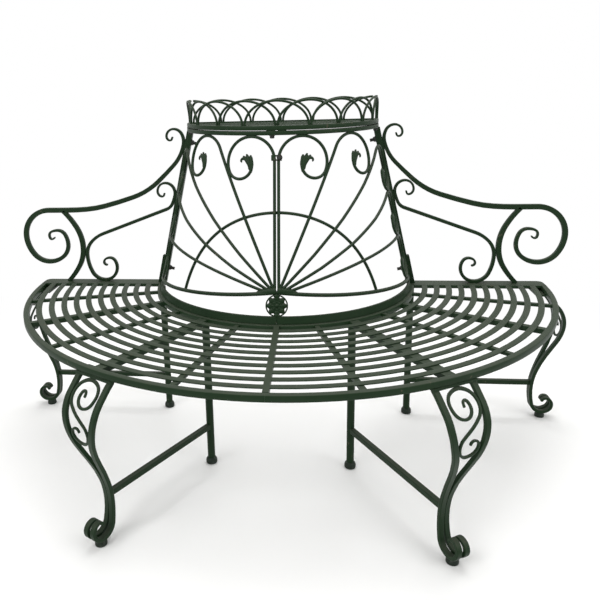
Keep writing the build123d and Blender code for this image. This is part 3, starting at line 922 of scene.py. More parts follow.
@dataclass
class Seat:
    """The slatted seat's rims, slats and end plates; its straight bars stay as the CAD has them."""

    sizes: BenchSizes
    paint: Material
    slat_edge: float = 0.9
    rim_edge: float = 1.8
    plate_front: float = 36
    plate_back: float = 14
    plate_corner: float = 16
    plate_thickness: float = 8
    plate_edge: float = 1.4
    plate_lift: float = 0.4
    plate_lap: float = 1

    def end_plate(self, side: Side) -> Object:
        """Flat plate along the straight end of one half, on the end bar, with its outer corner rounded.

        Args:
            side: the half it belongs to.

        Returns:
            The finished piece.
        """
        sizes = self.sizes
        inner = sizes.inner_rim_r - sizes.rim_width / 2
        outer = sizes.outer_rim_r + sizes.rim_width / 2 - self.plate_lap
        front, back, bend = -self.plate_front, self.plate_back, self.plate_corner
        outline = [(inner, back), (inner, front), (outer, front)]
        for a in stops(0, pi / 2, 8):
            outline.append((outer - bend + bend * cos(a), back - bend + bend * sin(a)))
        top = sizes.seat_top + self.plate_lift
        levels = (top - self.plate_thickness, top)
        sections = [[sizes.world(side.value * x, y, z) for x, y in outline] for z in levels]
        return bar_piece(f"end_plate_{side.label}", sections, self.plate_edge, self.paint)

    def build(self, strips: Tree) -> None:
        """Makes both halves' rims, end plates and slats.

        Args:
            strips: group that makes flat strips.
        """
        sizes = self.sizes
        height = sizes.seat_top - sizes.seat_bottom
        rim = {"Width": sizes.rim_width, "Thickness": height, "Edge": self.rim_edge}
        slat = {"Width": sizes.slat_width, "Thickness": sizes.slat_thickness, "Edge": self.slat_edge}
        radii = [sizes.outer_rim_r - (i + 1) * sizes.slat_pitch for i in range(sizes.slat_count)]
        ends = (sizes.centre_bar, self.plate_front - self.plate_lap)
        for side in Side:
            level = sizes.seat_top - height / 2
            for word, radius in (("outer", sizes.outer_rim_r), ("inner", sizes.inner_rim_r)):
                line = sizes.level_arc(radius, level, side)
                piece = strips.follow(f"{word}_rim_{side.label}", [line], self.paint, **rim)
                settle(piece, f"seat_{word}_rim_{side.label}")
            settle(self.end_plate(side))
            level = sizes.seat_top - sizes.slat_thickness / 2
            lines = [sizes.level_arc(radius, level, side, *ends) for radius in radii]
            piece = strips.follow(f"slats_{side.label}", lines, self.paint, **slat)
            settle(piece, f"seat_slats_{side.label}")


@dataclass
class LegFrames:
    """The four lyre-shaped cabriole legs, their S-scrolls and stretchers, the round legs and all the feet."""

    sizes: BenchSizes
    paint: Material
    plastic: Material
    angle: float = radians(30)
    end_inset: float = 14
    bar_width: float = 14
    bar_thickness: float = 10
    scroll_width: float = 6
    spread: float = 50
    join_z: float = 134
    shank_z: float = 95
    head_z: float = 416
    head_gap: float = 3
    foot_r: float = 801
    foot_spread: float = 4
    splay: float = 0.08
    least_slope: float = 0.8
    stretcher_z: float = 116
    stretcher_size: float = 14.5
    stretcher_start: float = 4
    stretcher_stop: float = 1
    edge: float = 1.6
    round_edge: float = 0.5
    # Half widths and heights of the round pieces, from the bottom to the top
    round_leg: Rows = ((10.4, 16), (10.4, 421))
    cap: Rows = ((12, 0), (14.8, 1), (15.8, 4), (15.8, 10), (14.6, 14), (12.6, 17), (10.6, 18.6))
    glide: Rows = ((12.5, 0), (14.2, 1), (14.6, 3), (14.4, 8), (12.4, 12), (11.6, 19))

    def profile(self) -> list[Station]:
        """Side view of a leg: radius and height along its bars, from the head to the rolled foot.

        Returns:
            Stations in millimetres, with the bar's thickness as their width.
        """
        t, foot = self.bar_thickness, self.foot_r
        samples = BentPath.through(
            (759, 428, -40, t),
            (831.5, 317, -90, t),
            (798.25, 214, -117, t),
            (765, self.shank_z, -90, t),
            (foot, 22, 0, t),
            (foot + 29, 47, 90, t - 1),
            (foot + 11, 67, 180, t - 2),
            (foot, 56, 270, t - 3),
        ).spaced()
        top = self.at_height(samples, self.head_z)
        head = Station(top.point, top.heading, t)
        return [head, *(place for place in samples if place.point.y < self.head_z - self.head_gap)]

    def lyre(self) -> list[Station]:
        """Front view of one bar: sideways distance and height, from the head to the foot.

        Returns:
            Stations in millimetres.
        """
        half = self.bar_width / 2
        return BentPath.through(
            (self.spread, 415, -90),
            (half, self.join_z, -90),
            (half, self.shank_z, -90),
            (half + self.foot_spread, 0, -88),
        ).samples

    @staticmethod
    def at_height(path: Sequence[Station], height: float) -> Station:
        """Place on a falling path at a height.

        Args:
            path: stations whose second coordinate is the height, falling at first.
            height: the height in millimetres.

        Returns:
            The place between the two nearest samples.
        """
        for upper, lower in zip(path, path[1:]):
            if upper.point.y >= height >= lower.point.y and upper.point.y > lower.point.y:
                share = (upper.point.y - height) / (upper.point.y - lower.point.y)
                point = upper.point.lerp(lower.point, share)
                return Station(point, upper.heading.lerp(lower.heading, share).normalized())
        return path[0]

    def place(self, front: bool, side: Side) -> Placing:
        """Function that sets a leg's own radius, sideways distance and height into the bench.

        Args:
            front: whether the leg stands under the front or at the seat's end.
            side: the half it belongs to.

        Returns:
            The placing function, which gives metres.
        """
        sine, cosine = sin(self.angle), cos(self.angle)

        def put(radius: float, across: float, height: float) -> Vector:
            """Point of this leg in the shared frame.

            Args:
                radius: distance from the bench's axis.
                across: distance from the leg's middle plane.
                height: height above the floor.

            Returns:
                The point in metres.
            """
            if front:
                x, y = radius * sine + across * cosine, -radius * cosine + across * sine
            else:
                x, y = radius, across - self.end_inset
            return self.sizes.world(side.value * x, y, height)

        return put

    def bars(self, mesh: BMesh, put: Placing) -> None:
        """Adds a leg's two bars to a mesh.

        Args:
            mesh: the mesh to add to.
            put: the leg's placing function.
        """
        lyre = self.lyre()
        for hand in (-1, 1):
            sections = []
            for place in self.profile():
                inner, outer = place.edges
                front = self.at_height(lyre, place.point.y)
                half = self.bar_width / 2 / max(self.least_slope, abs(front.heading.y))
                middle = front.point.x + self.splay * max(0.0, place.point.x - self.foot_r)
                low, high = hand * (middle - half), hand * (middle + half)
                corners = ((inner, low), (outer, low), (outer, high), (inner, high))
                sections.append([put(edge.x, across, edge.y) for edge, across in corners])
            bar_mesh(mesh, sections)

    def scroll(self, mesh: BMesh, put: Placing) -> None:
        """Adds a leg's S-scroll, which lies on the curved face between the bars.

        Args:
            mesh: the mesh to add to.
            put: the leg's placing function.
        """
        w = self.scroll_width
        path = BentPath.through(
            (1, 379, 95, w - 1.5),
            (8, 390, 0, w - 1),
            (16, 379, -90, w),
            (-4, 359.5, -180, w),
            (-32, 386, -270, w),
            (4, 409, -360, w),
            (39, 382, -450, w),
            (8, 341, -505, w),
            (-26.2, 302, -450, w),
            (-1, 275, -360, w),
            (24, 299, -270, w),
            (10, 313, -180, w - 1),
            (1, 304, -95, w - 1.5),
        )
        profile = self.profile()
        sections = []
        for place in path.spaced():
            corners = []
            for edge, face in zip((*place.edges, *reversed(place.edges)), (-1, -1, 1, 1)):
                middle = self.at_height(profile, edge.y)
                out = Vector((-middle.heading.y, middle.heading.x)) * (face * w / 2)
                corners.append(put(middle.point.x + out.x, edge.x, edge.y + out.y))
            sections.append(corners)
        bar_mesh(mesh, sections)

    def stretcher(self, mesh: BMesh, put: Placing) -> None:
        """Adds the level square bar between a cabriole leg and its round leg, a little way into both.

        Args:
            mesh: the mesh to add to.
            put: the leg's placing function.
        """
        half, level = self.stretcher_size / 2, self.stretcher_z
        corners = ((-half, -half), (half, -half), (half, half), (-half, half))
        start = self.sizes.inner_rim_r + self.stretcher_start
        ends = (start, self.at_height(self.profile(), level).point.x - self.stretcher_stop)
        bar_mesh(mesh, [[put(r, across, level + up) for across, up in corners] for r in ends])

    def build(self) -> None:
        """Makes the bars of the four legs, their scrolls and stretchers, the round legs and the feet."""
        scrolls, stretchers = bmesh.new(), bmesh.new()
        puts = []
        for front, word in ((True, "front"), (False, "end")):
            for side in Side:
                put = self.place(front, side)
                puts.append(put)
                mesh = bmesh.new()
                self.bars(mesh, put)
                self.scroll(scrolls, put)
                self.stretcher(stretchers, put)
                piece = softened(f"{word}_lyre_{side.label}", mesh, self.edge, self.paint)
                settle(piece, f"{word}_leg_bars_{side.label}")
        settle(softened("lyre_scrolls", scrolls, self.edge, self.paint), "leg_scrolls")
        settle(softened("stretchers", stretchers, self.edge, self.paint), "leg_stretchers")
        inner_r = self.sizes.inner_rim_r
        turns = round_turns(36)
        for name, node, radius, outline, finish, slot in (
            ("round_legs", "rear_legs", inner_r, self.round_leg, self.paint, Slot.PAINT),
            ("round_leg_caps", "rear_leg_caps", inner_r, self.cap, self.plastic, Slot.FOOT),
            ("glides", "front_glides", self.foot_r, self.glide, self.plastic, Slot.FOOT),
        ):
            mesh = bmesh.new()
            for put in puts:
                bar_mesh(mesh, [[put(radius + r * cos(a), r * sin(a), z) for a in turns] for r, z in outline])
            settle(softened(name, mesh, self.round_edge, finish), node, slot=slot)


@dataclass
class Back:
    """The back's two rolled fans of rods, with their leaves, bands and centre ornaments."""

    sizes: BenchSizes
    paint: Material
    rod: float = 8.2
    low_rod: float = 10.5
    centre_rod_x: float = 5.3
    scroll_r: float = 64
    scroll_eye: float = 33
    scroll_gap: float = 3
    scroll_step: float = radians(30)
    scroll_turn: float = radians(24)
    side_scroll_turn: float = radians(75)
    side_scroll_y: float = 427
    side_scroll_pitch: float = 125
    longest_run: float = 25
    hub_z: float = 517
    fall: float = 0.62
    low_rod_end: float = 87.6
    hoop_r: float = 318.5
    hoop_drop: float = 31
    hoop_inset: float = 0.94
    band_height: float = 20
    band_thickness: float = 6
    band_edge: float = 1.2
    top_band_height: float = 11
    top_band_width: float = 15
    top_band_edge: float = 2
    weld_gap: float = 2.2
    weld_length: float = 52
    weld_rise: float = 4.5
    weld_tall: float = 9.8
    weld_droop: float = 4.5
    weld_deep: float = 6.5
    weld_taper: float = 2.5
    lobe_core: float = 0.9
    lobe_swell: float = 0.26
    cast_edge: float = 0.6
    flower_z: float = 483.5
    strap_edge: float = 1
    # Lobes of a leaf: rows of two coordinates about the rod's end, heading and width
    lobes: tuple[Rows, ...] = (
        ((1.5, -16, 102, 6), (0.5, 4, 88, 11), (3.5, 22, 82, 10.5), (4.5, 29, 80, 4)),
        ((3, -13, 98, 6), (6, 6, 78, 11), (12, 23, 66, 11), (15.5, 31.5, 70, 4)),
        ((4.5, -10, 92, 6), (9, 8, 64, 11), (19, 21, 45, 10.5), (25, 26.5, 40, 4)),
        ((6, -8, 88, 6), (12, 10, 56, 9), (23, 20, 6, 8.5), (30, 14, -90, 6), (27.5, 11, -160, 4)),
    )

    @property
    def scroll_reach(self) -> float:
        """Distance of the large scrolls' centres from the cone's tip, with their tops under the top band.

        Returns:
            The distance in millimetres.
        """
        sizes = self.sizes
        top = (sizes.top_band_z - sizes.seat_top) / cos(sizes.back_lean) - self.scroll_gap
        return sizes.apex_reach - top + self.scroll_r

    @staticmethod
    def arc(centre: Vector, radius: float, first: float, last: float) -> list[Station]:
        """Stations clockwise round a centre, between two polar angles in radians.

        Args:
            centre: the centre.
            radius: distance of the stations from it.
            first: angle of the first station.
            last: angle of the last one.

        Returns:
            Five stations at even steps.
        """
        stations = []
        for a in stops(first, last, 4):
            point = centre + Vector((cos(a), sin(a))) * radius
            stations.append(Station(point, Vector((sin(a), -cos(a)))))
        return stations

    def top_scroll(self, index: int) -> Vector:
        """Flat centre of a scroll under the top band, counted from the centre line.

        Args:
            index: 0 for the scroll at the centre line.

        Returns:
            The centre in the flat panel, in millimetres.
        """
        reach = self.scroll_reach
        angle = asin((self.centre_rod_x + self.scroll_r) / reach)
        angle += index * self.scroll_step * sin(self.sizes.back_lean)
        return Vector((sin(angle), -cos(angle))) * reach + Vector((0, self.sizes.apex_reach))

    def side_scroll(self, index: int) -> Vector:
        """Flat centre of a scroll that leans on the post, counted from the top.

        Args:
            index: 0 for the top scroll.

        Returns:
            The centre in the flat panel, in millimetres.
        """
        y = self.side_scroll_y - index * self.side_scroll_pitch
        spread = pi / 2 * sin(self.sizes.back_lean)
        clear = self.sizes.post_width + self.scroll_gap + self.scroll_r
        return Vector(((self.sizes.apex_reach - y) * tan(spread) - clear / cos(spread), y))

    def scrolled(self) -> tuple[list[BentPath], list[Station]]:
        """Flat paths of the five rods of a half, each ending in a scroll, and the tips of the scrolls.

        Returns:
            The paths, and the tips in the same order.
        """
        paths = []
        tips = []
        for x, y, heading, centre, turn in (
            (self.centre_rod_x, 80, 90, self.top_scroll(0), self.scroll_turn),
            (8.2, 88.5, None, self.top_scroll(1), self.scroll_turn),
            (13.6, 88.5, 46, self.side_scroll(0), self.side_scroll_turn),
            (20.5, 86.5, 29.5, self.side_scroll(1), self.side_scroll_turn),
            (29.5, 83.5, 20.5, self.side_scroll(2), self.side_scroll_turn),
        ):
            away = centre - Vector((x, y))
            tangent = atan2(away.y, away.x) + asin(self.scroll_r / away.length)
            leaving = tangent if heading is None else radians(heading)
            angle = atan2(centre.x, self.sizes.apex_reach - centre.y)
            tight = angle - turn
            loop = self.arc(centre, self.scroll_r, 2 * tangent - leaving + pi / 2, tight)
            eye = centre + Vector((cos(tight), sin(tight))) * (self.scroll_r - self.scroll_eye)
            inner = self.arc(eye, self.scroll_eye, tight, angle - pi)
            paths.append(BentPath([station(x, y, degrees(leaving)), *loop, *inner[1:]]))
            tips.append(inner[-1])
        return paths, tips

    def on_cone(self, points: Sequence[Vector], side: Side, inset: float = 0) -> list[Vector]:
        """Flat points rolled on the cone, in metres, for one half."""
        rolled = [self.sizes.rolled(p.x, p.y, inset) for p in points]
        return [self.sizes.world(side.value * p.x, p.y, p.z) for p in rolled]

    def along(self, path: BentPath) -> list[Vector]:
        """Flat points of a path, with long straight runs divided so that they bend with the cone.

        Args:
            path: a flat path.

        Returns:
            Points in millimetres.
        """
        points = [path.samples[0].point]
        for place in path.samples[1:]:
            base = points[-1]
            gap = place.point - base
            count = max(1, ceil(gap.length / self.longest_run))
            points += [base + gap * (i / count) for i in range(1, count + 1)]
        return points

    def low_line(self, side: Side) -> list[Vector]:
        """The bottom rod of one half, falling from the hub to the post.

        Args:
            side: the half it belongs to.

        Returns:
            Points in metres.
        """
        points = []
        for turn in (*range(0, 87, 2), self.low_rod_end):
            height = self.hub_z - self.fall * turn
            radius = self.sizes.back_radius(height)
            points.append(self.sizes.polar(radius, side.value * radians(turn), height))
        return points

    def hoop_line(self, side: Side) -> list[Vector]:
        """The arch behind the rods of one half.

        Args:
            side: the half it belongs to.

        Returns:
            Points in metres.
        """
        flat = []
        for turn in stops(90, 20, 40):
            a = radians(turn)
            flat.append(Vector((self.hoop_r * cos(a), self.hoop_r * sin(a) - self.hoop_drop)))
        return self.on_cone(flat, side, self.rod * self.hoop_inset)

    def leaf(self, mesh: BMesh, tip: Station, side: Side) -> None:
        """Adds one cast leaf to a mesh: four lobes that fan out of the rod's end and curl inwards.

        Args:
            mesh: the mesh to add to.
            tip: the flat end of the scroll that carries the leaf.
            side: the half it belongs to.
        """
        across = Vector((tip.heading.y, -tip.heading.x))
        for lobe in self.lobes:
            sections = []
            for place in BentPath.through(*lobe).samples:
                aside = Vector((-place.heading.y, place.heading.x))
                thick = self.lobe_swell * place.width + self.lobe_core
                section = []
                for turn in round_turns(12):
                    flat = place.point + aside * (place.width / 2 * cos(turn))
                    where = tip.point + across * flat.x + tip.heading * flat.y
                    section += self.on_cone([where], side, thick * sin(turn))
                sections.append(section)
            bar_mesh(mesh, sections)

    def flower(self, tree: Tree) -> Object:
        """The rosette on the centre line.

        Args:
            tree: group that makes the flower.

        Returns:
            The finished piece.
        """
        sizes = self.sizes
        line = [Vector(), Vector((0, 0, MM))]
        piece = tree.follow("rosette", [line], self.paint, Radius=29.5, Ring=2, Petal=6.4, Petals=8)
        turn = Matrix((Vector((1, 0, 0)), sizes.rising, sizes.facing)).transposed()
        seat = sizes.polar(sizes.back_radius(self.flower_z), 0, self.flower_z)
        piece.data.transform(Matrix.Translation(seat) @ turn.to_4x4())
        return piece

    def bottom_band(self, side: Side) -> Object:
        """Leaning flat band of one half, on the seat's inner rim.

        Args:
            side: the half it belongs to.

        Returns:
            The finished piece.
        """
        sizes = self.sizes
        half, shift = self.band_thickness / 2, tan(sizes.back_lean) * self.band_height
        foot, head = sizes.seat_top, sizes.seat_top + self.band_height
        corners = ((-half, foot), (half, foot), (half - shift, head), (-half - shift, head))
        last = pi / 2 - asin(sizes.post_width / sizes.back_base_r)
        sections = []
        for a in stops(0, last, 60):
            sections.append([sizes.polar(sizes.back_base_r + out, side.value * a, z) for out, z in corners])
        return bar_piece(f"bottom_band_{side.label}", sections, self.band_edge, self.paint)

    def weld(self, side: Side) -> Object:
        """Weld that fills the feet of one half's rods, on the bottom rod next to the centre line.

        Args:
            side: the half it belongs to.

        Returns:
            The finished piece.
        """
        sizes = self.sizes
        sections = []
        for share in stops(0, 1, 16):
            a = (self.weld_gap + self.weld_length * share) / sizes.back_radius(self.hub_z)
            height = self.hub_z - self.fall * degrees(a) + self.weld_rise * (1 - share**4)
            tall = self.weld_tall - self.weld_droop * share**4
            deep = self.weld_deep - self.weld_taper * share
            section = []
            for turn in round_turns(16):
                z = height + tall * sin(turn)
                section.append(sizes.polar(sizes.back_radius(z) + deep * cos(turn), side.value * a, z))
            sections.append(section)
        return bar_piece(f"hub_weld_{side.label}", sections, self.cast_edge, self.paint)

    def strap(self) -> Object:
        """Strap round the two centre rods, open where light shows between them.

        Returns:
            The finished piece.
        """
        sizes, depth = self.sizes, self.sizes.strap_depth
        base = sizes.rolled(0, sizes.strap_y)
        mesh = bmesh.new()
        outside, window = (13.5, 7), (2.6, 4)
        rings = []
        for (width, height), out in ((outside, -depth), (outside, depth), (window, depth), (window, -depth)):
            ring = []
            for x, y in ((-1, -1), (1, -1), (1, 1), (-1, 1)):
                spot = base + Vector((x * width, 0, 0)) + sizes.rising * (y * height) + sizes.facing * out
                ring.append(mesh.verts.new(sizes.world(*spot)))
            rings.append(ring)
        for row, following in zip(rings, rings[1:] + rings[:1]):
            for i in range(4):
                j = (i + 1) % 4
                mesh.faces.new((row[i], row[j], following[j], following[i]))
        return softened("rod_strap", mesh, self.strap_edge, self.paint)

    def build(self, rods: Tree, strips: Tree, flowers: Tree) -> None:
        """Makes the bands, rods, leaves, welds, strap and rosette.

        Args:
            rods: group that makes round rods.
            strips: group that makes flat strips.
            flowers: group that makes the flower.
        """
        sizes, paint = self.sizes, self.paint
        paths, tips = self.scrolled()
        band = {"Width": self.top_band_width, "Thickness": self.top_band_height, "Edge": self.top_band_edge}
        thin = {"Radius": self.rod / 2, "Sides": 14}
        thick = {"Radius": self.low_rod / 2, "Sides": 16}
        level = sizes.top_band_z + self.top_band_height / 2
        for side in Side:
            settle(self.bottom_band(side), f"back_bottom_band_{side.label}")
            top = [sizes.level_arc(sizes.top_band_r, level, side)]
            fan = [self.on_cone(self.along(path), side) for path in paths]
            for tree, name, lines, shape, node in (
                (strips, "top_band", top, band, "back_top_band"),
                (rods, "fan", fan, thin, "back_fan_rods"),
                (rods, "bottom_rod", [self.low_line(side)], thick, "back_lower_rod"),
                (rods, "hoop", [self.hoop_line(side)], thin, "back_hoop"),
            ):
                piece = tree.follow(f"{name}_{side.label}", lines, paint, **shape)
                settle(piece, f"{node}_{side.label}")
            leaves = bmesh.new()
            for tip in tips:
                self.leaf(leaves, tip, side)
            piece = softened(f"leaves_{side.label}", leaves, self.cast_edge, paint)
            settle(piece, f"back_leaf_tips_{side.label}")
            settle(self.weld(side))
        settle(self.strap(), "back_rod_clip")
        settle(self.flower(flowers), "back_rosette")


@dataclass
class Gallery:
    """The round band and the interlaced arches of the shelf on top of the back."""

    sizes: BenchSizes
    paint: Material
    rod: float = 6.4
    layer: float = 3.3
    height: float = 62
    step: float = 18
    bays: int = 6
    band_width: float = 14
    band_edge: float = 2

    def curve(self, point: Placing, span: float, layer: float, first: float, last: float) -> list[Vector]:
        """Line of one arch.

        Args:
            point: function from distance along the rail, height and layer to a place.
            span: half the arch's width along the rail.
            layer: distance of the arch from the rail's middle.
            first: where the arch begins, in degrees of its half turn.
            last: where it ends.

        Returns:
            Points in metres.
        """
        turns = [radians(turn) for turn in stops(first, last, 36)]
        base = self.sizes.gallery_top
        return [point(-span * cos(a), base + self.height * sin(a), layer) for a in turns]

    def on_front(self, middle: float) -> Placing:
        """Places of an arch on the round front, about an angle in degrees.

        Args:
            middle: the arch's angle from the front.

        Returns:
            Function from an offset in degrees, a height and a layer to a point in metres.
        """
        sizes = self.sizes
        return lambda offset, height, layer: sizes.polar(
            sizes.top_band_r + layer, radians(middle + offset), height
        )

    def on_back(self, middle: float) -> Placing:
        """Places of an arch on the straight back bar, about a distance along it.

        Args:
            middle: the arch's distance from the centre line.

        Returns:
            Function from an offset, a height and a layer to a point in metres.
        """
        return lambda offset, height, layer: self.sizes.world(
            middle + offset, -self.band_width / 2 - layer, height
        )

    def band(self, strips: Tree) -> Object:
        """The round band that the front arches stand on.

        Args:
            strips: group that makes flat strips.

        Returns:
            The finished piece.
        """
        sizes = self.sizes
        height = sizes.gallery_top - sizes.gallery_bottom
        level = sizes.gallery_bottom + height / 2
        left, right = (sizes.level_arc(sizes.top_band_r, level, side) for side in Side)
        shape = {"Width": self.band_width, "Thickness": height, "Edge": self.band_edge}
        return strips.follow("shelf_band", [[*reversed(left), *right[1:]]], self.paint, **shape)

    def build(self, rods: Tree, strips: Tree) -> None:
        """Makes the band, and the front and the back row of arches.

        Args:
            rods: group that makes round rods.
            strips: group that makes flat strips.
        """
        settle(self.band(strips), "gallery_band")
        inner = self.sizes.top_band_r - self.band_width / 2
        bay = inner / (self.bays / 2)
        front_span = self.step - degrees(self.layer / self.sizes.top_band_r)
        # Rows of the middle of an arch, its layer, and where it begins and ends
        fronts = [(i * self.step, (-1) ** i, 0, 180) for i in range(-4, 5)]
        fronts += [(90, -1, 0, 84), (-90, -1, 96, 180)]
        backs = [(i * bay, (-1) ** i, 0, 180) for i in range(-2, 3)]
        backs += [(inner, -1, 0, 88), (-inner, -1, 92, 180)]
        for name, rail, span, rows in (
            ("front_arches", self.on_front, front_span, fronts),
            ("back_arches", self.on_back, bay - self.layer, backs),
        ):
            lines = [self.curve(rail(row[0]), span, self.layer * row[1], *row[2:]) for row in rows]
            piece = rods.follow(name, lines, self.paint, Radius=self.rod / 2, Sides=12)
            settle(piece, f"gallery_{name}")


@dataclass
class Arms:
    """The two scrolled arms in the plane of the straight ends."""

    sizes: BenchSizes
    paint: Material
    depth: float = 12
    edge: float = 1.6

    def rail(self) -> BentPath:
        """Top rail, from the small curl on the post to the eye of the large scroll.

        Returns:
            The path in the end plane.
        """
        return BentPath.through(
            (331, 893, -70, 5),
            (339, 882, 0, 5.5),
            (349.5, 894, 90, 6),
            (327, 916, 180, 7),
            (self.sizes.post_face(868) + 5, 868, 283, 10.5),
            (383, 758, 318, 13.5),
            (560, 682.5, 346, 15),
            (680, 670.5, 360, 15.5),
            (745, 670.5, 360, 15.5),
            (828, 587, 270, 15.5),
            (757, 502.5, 180, 14),
            (691, 560, 90, 11.5),
            (722, 605, 0, 8.5),
            (751, 588, -90, 6),
            (743, 576, -180, 5),
            (735, 583, -270, 5),
        )

    def support(self) -> BentPath:
        """Bowed support between the rail and the seat's end bar."""
        return BentPath.through((698, 668, 225, 13), (642, 551, 270, 16), (700, 437, 316, 13))

    def scroll(self) -> BentPath:
        """S-scroll between the post, the rail, the support and the seat.

        Returns:
            The path in the end plane.
        """
        return BentPath.through(
            (366, 722, -80, 5),
            (373, 711, 0, 5.5),
            (387.5, 727, 90, 6),
            (362, 753, 180, 7),
            (self.sizes.post_face(715) + 4.4, 715, 283, 9),
            (362, 671, 340, 10),
            (572, 594, 340, 10),
            (630.5, 523, 270, 10),
            (577, 441.9, 180, 10),
            (535, 485, 90, 9),
            (557, 515, 0, 7),
            (577, 500, -90, 6),
            (566, 491, -180, 5),
        )

    def bar(self, name: str, path: BentPath, side: Side) -> Object:
        """One flat bar of an arm.

        Args:
            name: the piece's name.
            path: the bar's path in the end plane.
            side: the half it belongs to.

        Returns:
            The finished piece.
        """
        front = -(self.sizes.end_bar + self.depth) / 2
        back = front + self.depth
        sections = []
        for place in path.spaced():
            first, second = place.edges
            corners = ((first, front), (second, front), (second, back), (first, back))
            sections.append([self.sizes.world(side.value * edge.x, y, edge.y) for edge, y in corners])
        return bar_piece(name, sections, self.edge, self.paint)

    def build(self) -> None:
        """Makes both arms."""
        for side in Side:
            for name, path, node in (
                ("armrest", self.rail(), "arm_rail"),
                ("arm_bow", self.support(), "arm_support"),
                ("arm_curl", self.scroll(), "arm_scroll"),
            ):
                settle(self.bar(f"{name}_{side.label}", path, side), f"{node}_{side.label}")


@dataclass
class Fasteners:
    """Nuts on the ends of the studs in the posts, and short bolts in the top band and the strap."""

    sizes: BenchSizes
    finish: Material
    nut_height: float = 7
    stud: float = 4.8
    stud_heights: tuple[float, ...] = (484, 875)
    stud_y: float = -9
    bolt_turns: tuple[float, ...] = (-78, -2.4, 78)
    strap_bolt_x: float = 8

    def post_studs(self) -> list[tuple[Vector, Vector]]:
        """Seat and axis of the long studs through the posts.

        Returns:
            Pairs of a seat, in metres, and an axis.
        """
        sizes = self.sizes
        found = []
        for side in Side:
            inward = Vector((-side.value * cos(sizes.back_lean), 0, -sin(sizes.back_lean)))
            for height in self.stud_heights:
                face = 2 * sizes.back_radius(height) - sizes.post_face(height)
                found.append((sizes.world(side.value * face, self.stud_y, height), inward))
        return found

    def bolts(self) -> list[tuple[Vector, Vector]]:
        """Seat and axis of the short bolts in the top band and the strap.

        Returns:
            Pairs of a seat, in metres, and an axis.
        """
        sizes = self.sizes
        found = []
        for turn in self.bolt_turns:
            below = sizes.polar(sizes.top_band_r, radians(turn), sizes.top_band_z)
            found.append((below, Vector((0, 0, -1))))
        strap = sizes.rolled(self.strap_bolt_x, sizes.strap_y, -sizes.strap_depth)
        return [*found, (sizes.world(*strap), sizes.facing)]

    def build(self, tree: Tree) -> None:
        """Makes the studs as one piece and the bolts as another.

        Args:
            tree: group that makes the fasteners.
        """
        for name, places, nut, length in (
            ("post_studs", self.post_studs(), 7.5, 17),
            ("short_bolts", self.bolts(), 6, 8),
        ):
            data = bpy.data.meshes.new(name)
            data.from_pydata([place for place, _ in places], [], [])
            axes = data.attributes.new("axis", "FLOAT_VECTOR", "POINT")
            for i, (_, axis) in enumerate(places):
                axes.data[i].vector = axis
            shape = {"Nut": nut, "Nut height": self.nut_height, "Stud": self.stud, "Stud length": length}
            settle(tree.apply(linked(name, data), self.finish, shape))


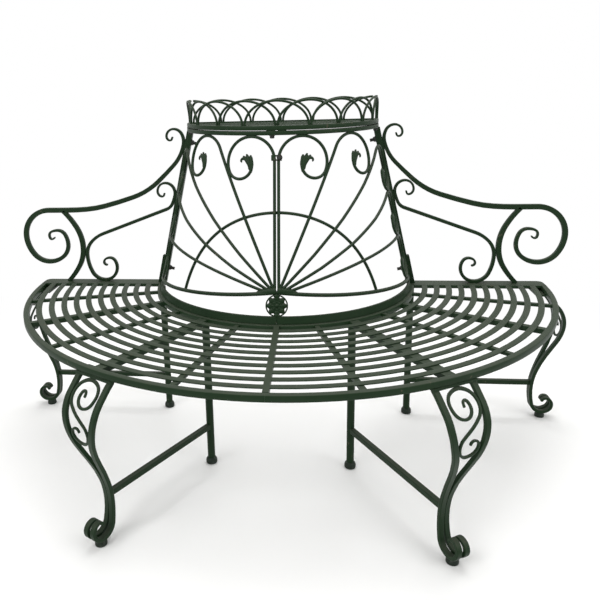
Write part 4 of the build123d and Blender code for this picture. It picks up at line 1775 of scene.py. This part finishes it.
@dataclass
class Studio:
    """Pale floor, soft light and the photograph's camera."""

    sizes: BenchSizes
    floor_colour: Colour = (0.97, 0.97, 0.965, 1)
    floor_size: float = 14
    floor_fade: tuple[float, float] = (0.8, 2.1)
    sky_colour: Colour = (1.0, 0.99, 0.97, 1)
    sky_strength: float = 0.45
    aim: tuple[float, float, float] = (0, 0, 0.5)
    focal_pixels: float = 641.85
    frame_pixels: float = 600
    axis_pixel: tuple[float, float] = (245.63, 253.75)
    eye: tuple[float, float, float] = (102.8, -1939.7, 1025.6)
    yaw: float = radians(-6.541)
    pitch: float = radians(14.3557)
    roll: float = radians(-1.6158)

    def floor(self) -> None:
        """Makes the floor, which fades into the white surround far from the bench."""
        mesh = bmesh.new()
        bmesh.ops.create_grid(mesh, x_segments=1, y_segments=1, size=self.floor_size)
        data = bpy.data.meshes.new("floor")
        mesh.to_mesh(data)
        mesh.free()
        shader = Shader.material("pale_floor")
        cloud = shader.noise(3, 3)
        soft = tuple(0.97 * part for part in self.floor_colour[:3])
        colour = shader.mix(cloud, self.floor_colour, (*soft, 1))
        near = shader.coated(colour, 0.7 + 0.1 * cloud, shader.noise(300, 2), 0.0002)
        white = shader.node("ShaderNodeEmission", None, {"Color": WHITE, "Strength": 1})
        length = {"operation": "LENGTH"}
        away = shader.node("ShaderNodeVectorMath", length, {0: shader.coordinates()}, "Value")
        share = away.above(*self.floor_fade) * shader.seen()
        surface = shader.node("ShaderNodeMixShader", None, {0: share, 1: near, 2: white})
        data.materials.append(shader.close(surface))
        linked("floor", data)

    def lamp(self, name: str, place: tuple[float, float, float], size: float, watts: float) -> None:
        """Adds a square soft lamp that faces the bench.

        Args:
            name: the lamp's name.
            place: where it hangs, in metres.
            size: its side in metres.
            watts: its power.
        """
        data = bpy.data.lights.new(name, "AREA")
        data.size = size
        data.energy = watts
        lamp = bpy.data.objects.new(name, data)
        lamp.location = place
        lamp.rotation_mode = "QUATERNION"
        lamp.rotation_quaternion = (Vector(self.aim) - Vector(place)).to_track_quat("-Z", "Y")
        bpy.context.scene.collection.objects.link(lamp)

    def sky(self) -> None:
        """Makes an even pale surround that the camera sees as white."""
        world = bpy.data.worlds.new("surround")
        shader = Shader(world)
        even = {"Color": self.sky_colour, "Strength": self.sky_strength}
        light = shader.node("ShaderNodeBackground", None, even)
        white = shader.node("ShaderNodeBackground", None, {"Color": WHITE, "Strength": 1})
        shader.close(shader.node("ShaderNodeMixShader", None, {0: shader.seen(), 1: light, 2: white}))
        bpy.context.scene.world = world

    def camera(self) -> None:
        """Sets up the photograph's camera."""
        ca, sa = cos(self.yaw), sin(self.yaw)
        ct, st = cos(self.pitch), sin(self.pitch)
        cr, sr = cos(self.roll), sin(self.roll)
        right = Vector((ca, -sa, 0))
        forward = Vector((sa * ct, ca * ct, -st))
        up = Vector((sa * st, ca * st, ct))
        turn = Matrix((right * cr + up * sr, up * cr - right * sr, -forward)).transposed()
        data = bpy.data.cameras.new("photo_camera")
        data.sensor_width = 36
        data.lens = self.focal_pixels / self.frame_pixels * data.sensor_width
        data.shift_x = 0.5 - self.axis_pixel[0] / self.frame_pixels
        data.shift_y = self.axis_pixel[1] / self.frame_pixels - 0.5
        camera = bpy.data.objects.new("photo_camera", data)
        camera.matrix_world = Matrix.Translation(self.sizes.world(*self.eye)) @ turn.to_4x4()
        bpy.context.scene.collection.objects.link(camera)
        bpy.context.scene.camera = camera

    def build(self) -> None:
        """Makes the whole setting."""
        bpy.context.scene.view_settings.view_transform = "Standard"
        self.floor()
        self.sky()
        self.lamp("key", (-2.2, -2.8, 3.0), 2.2, 85)
        self.lamp("fill", (2.8, -1.8, 2.2), 2.0, 35)
        self.lamp("top", (0.2, 0.6, 3.4), 2.6, 85)
        self.camera()


def main() -> None:
    """Builds the dressed bench in order."""
    logging.basicConfig(level=logging.INFO, format="%(name)s: %(message)s")
    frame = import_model()
    sizes = BenchSizes()
    paint = PaintFinish().material()
    plastic = FootFinish().material()
    steel = BoltFinish().material()
    for name, node in frame["nodes"].items():
        node.data.materials.clear()
        node.data.materials.append(plastic if name in ("front_glides", "rear_leg_caps") else paint)
    rods = round_rod_tree()
    strips = flat_strip_tree()
    Seat(sizes, paint).build(strips)
    LegFrames(sizes, paint, plastic).build()
    Back(sizes, paint).build(rods, strips, rosette_tree())
    Gallery(sizes, paint).build(rods, strips)
    Arms(sizes, paint).build()
    Fasteners(sizes, steel).build(fastener_tree())
    Studio(sizes).build()


if __name__ == "__main__":
    main()
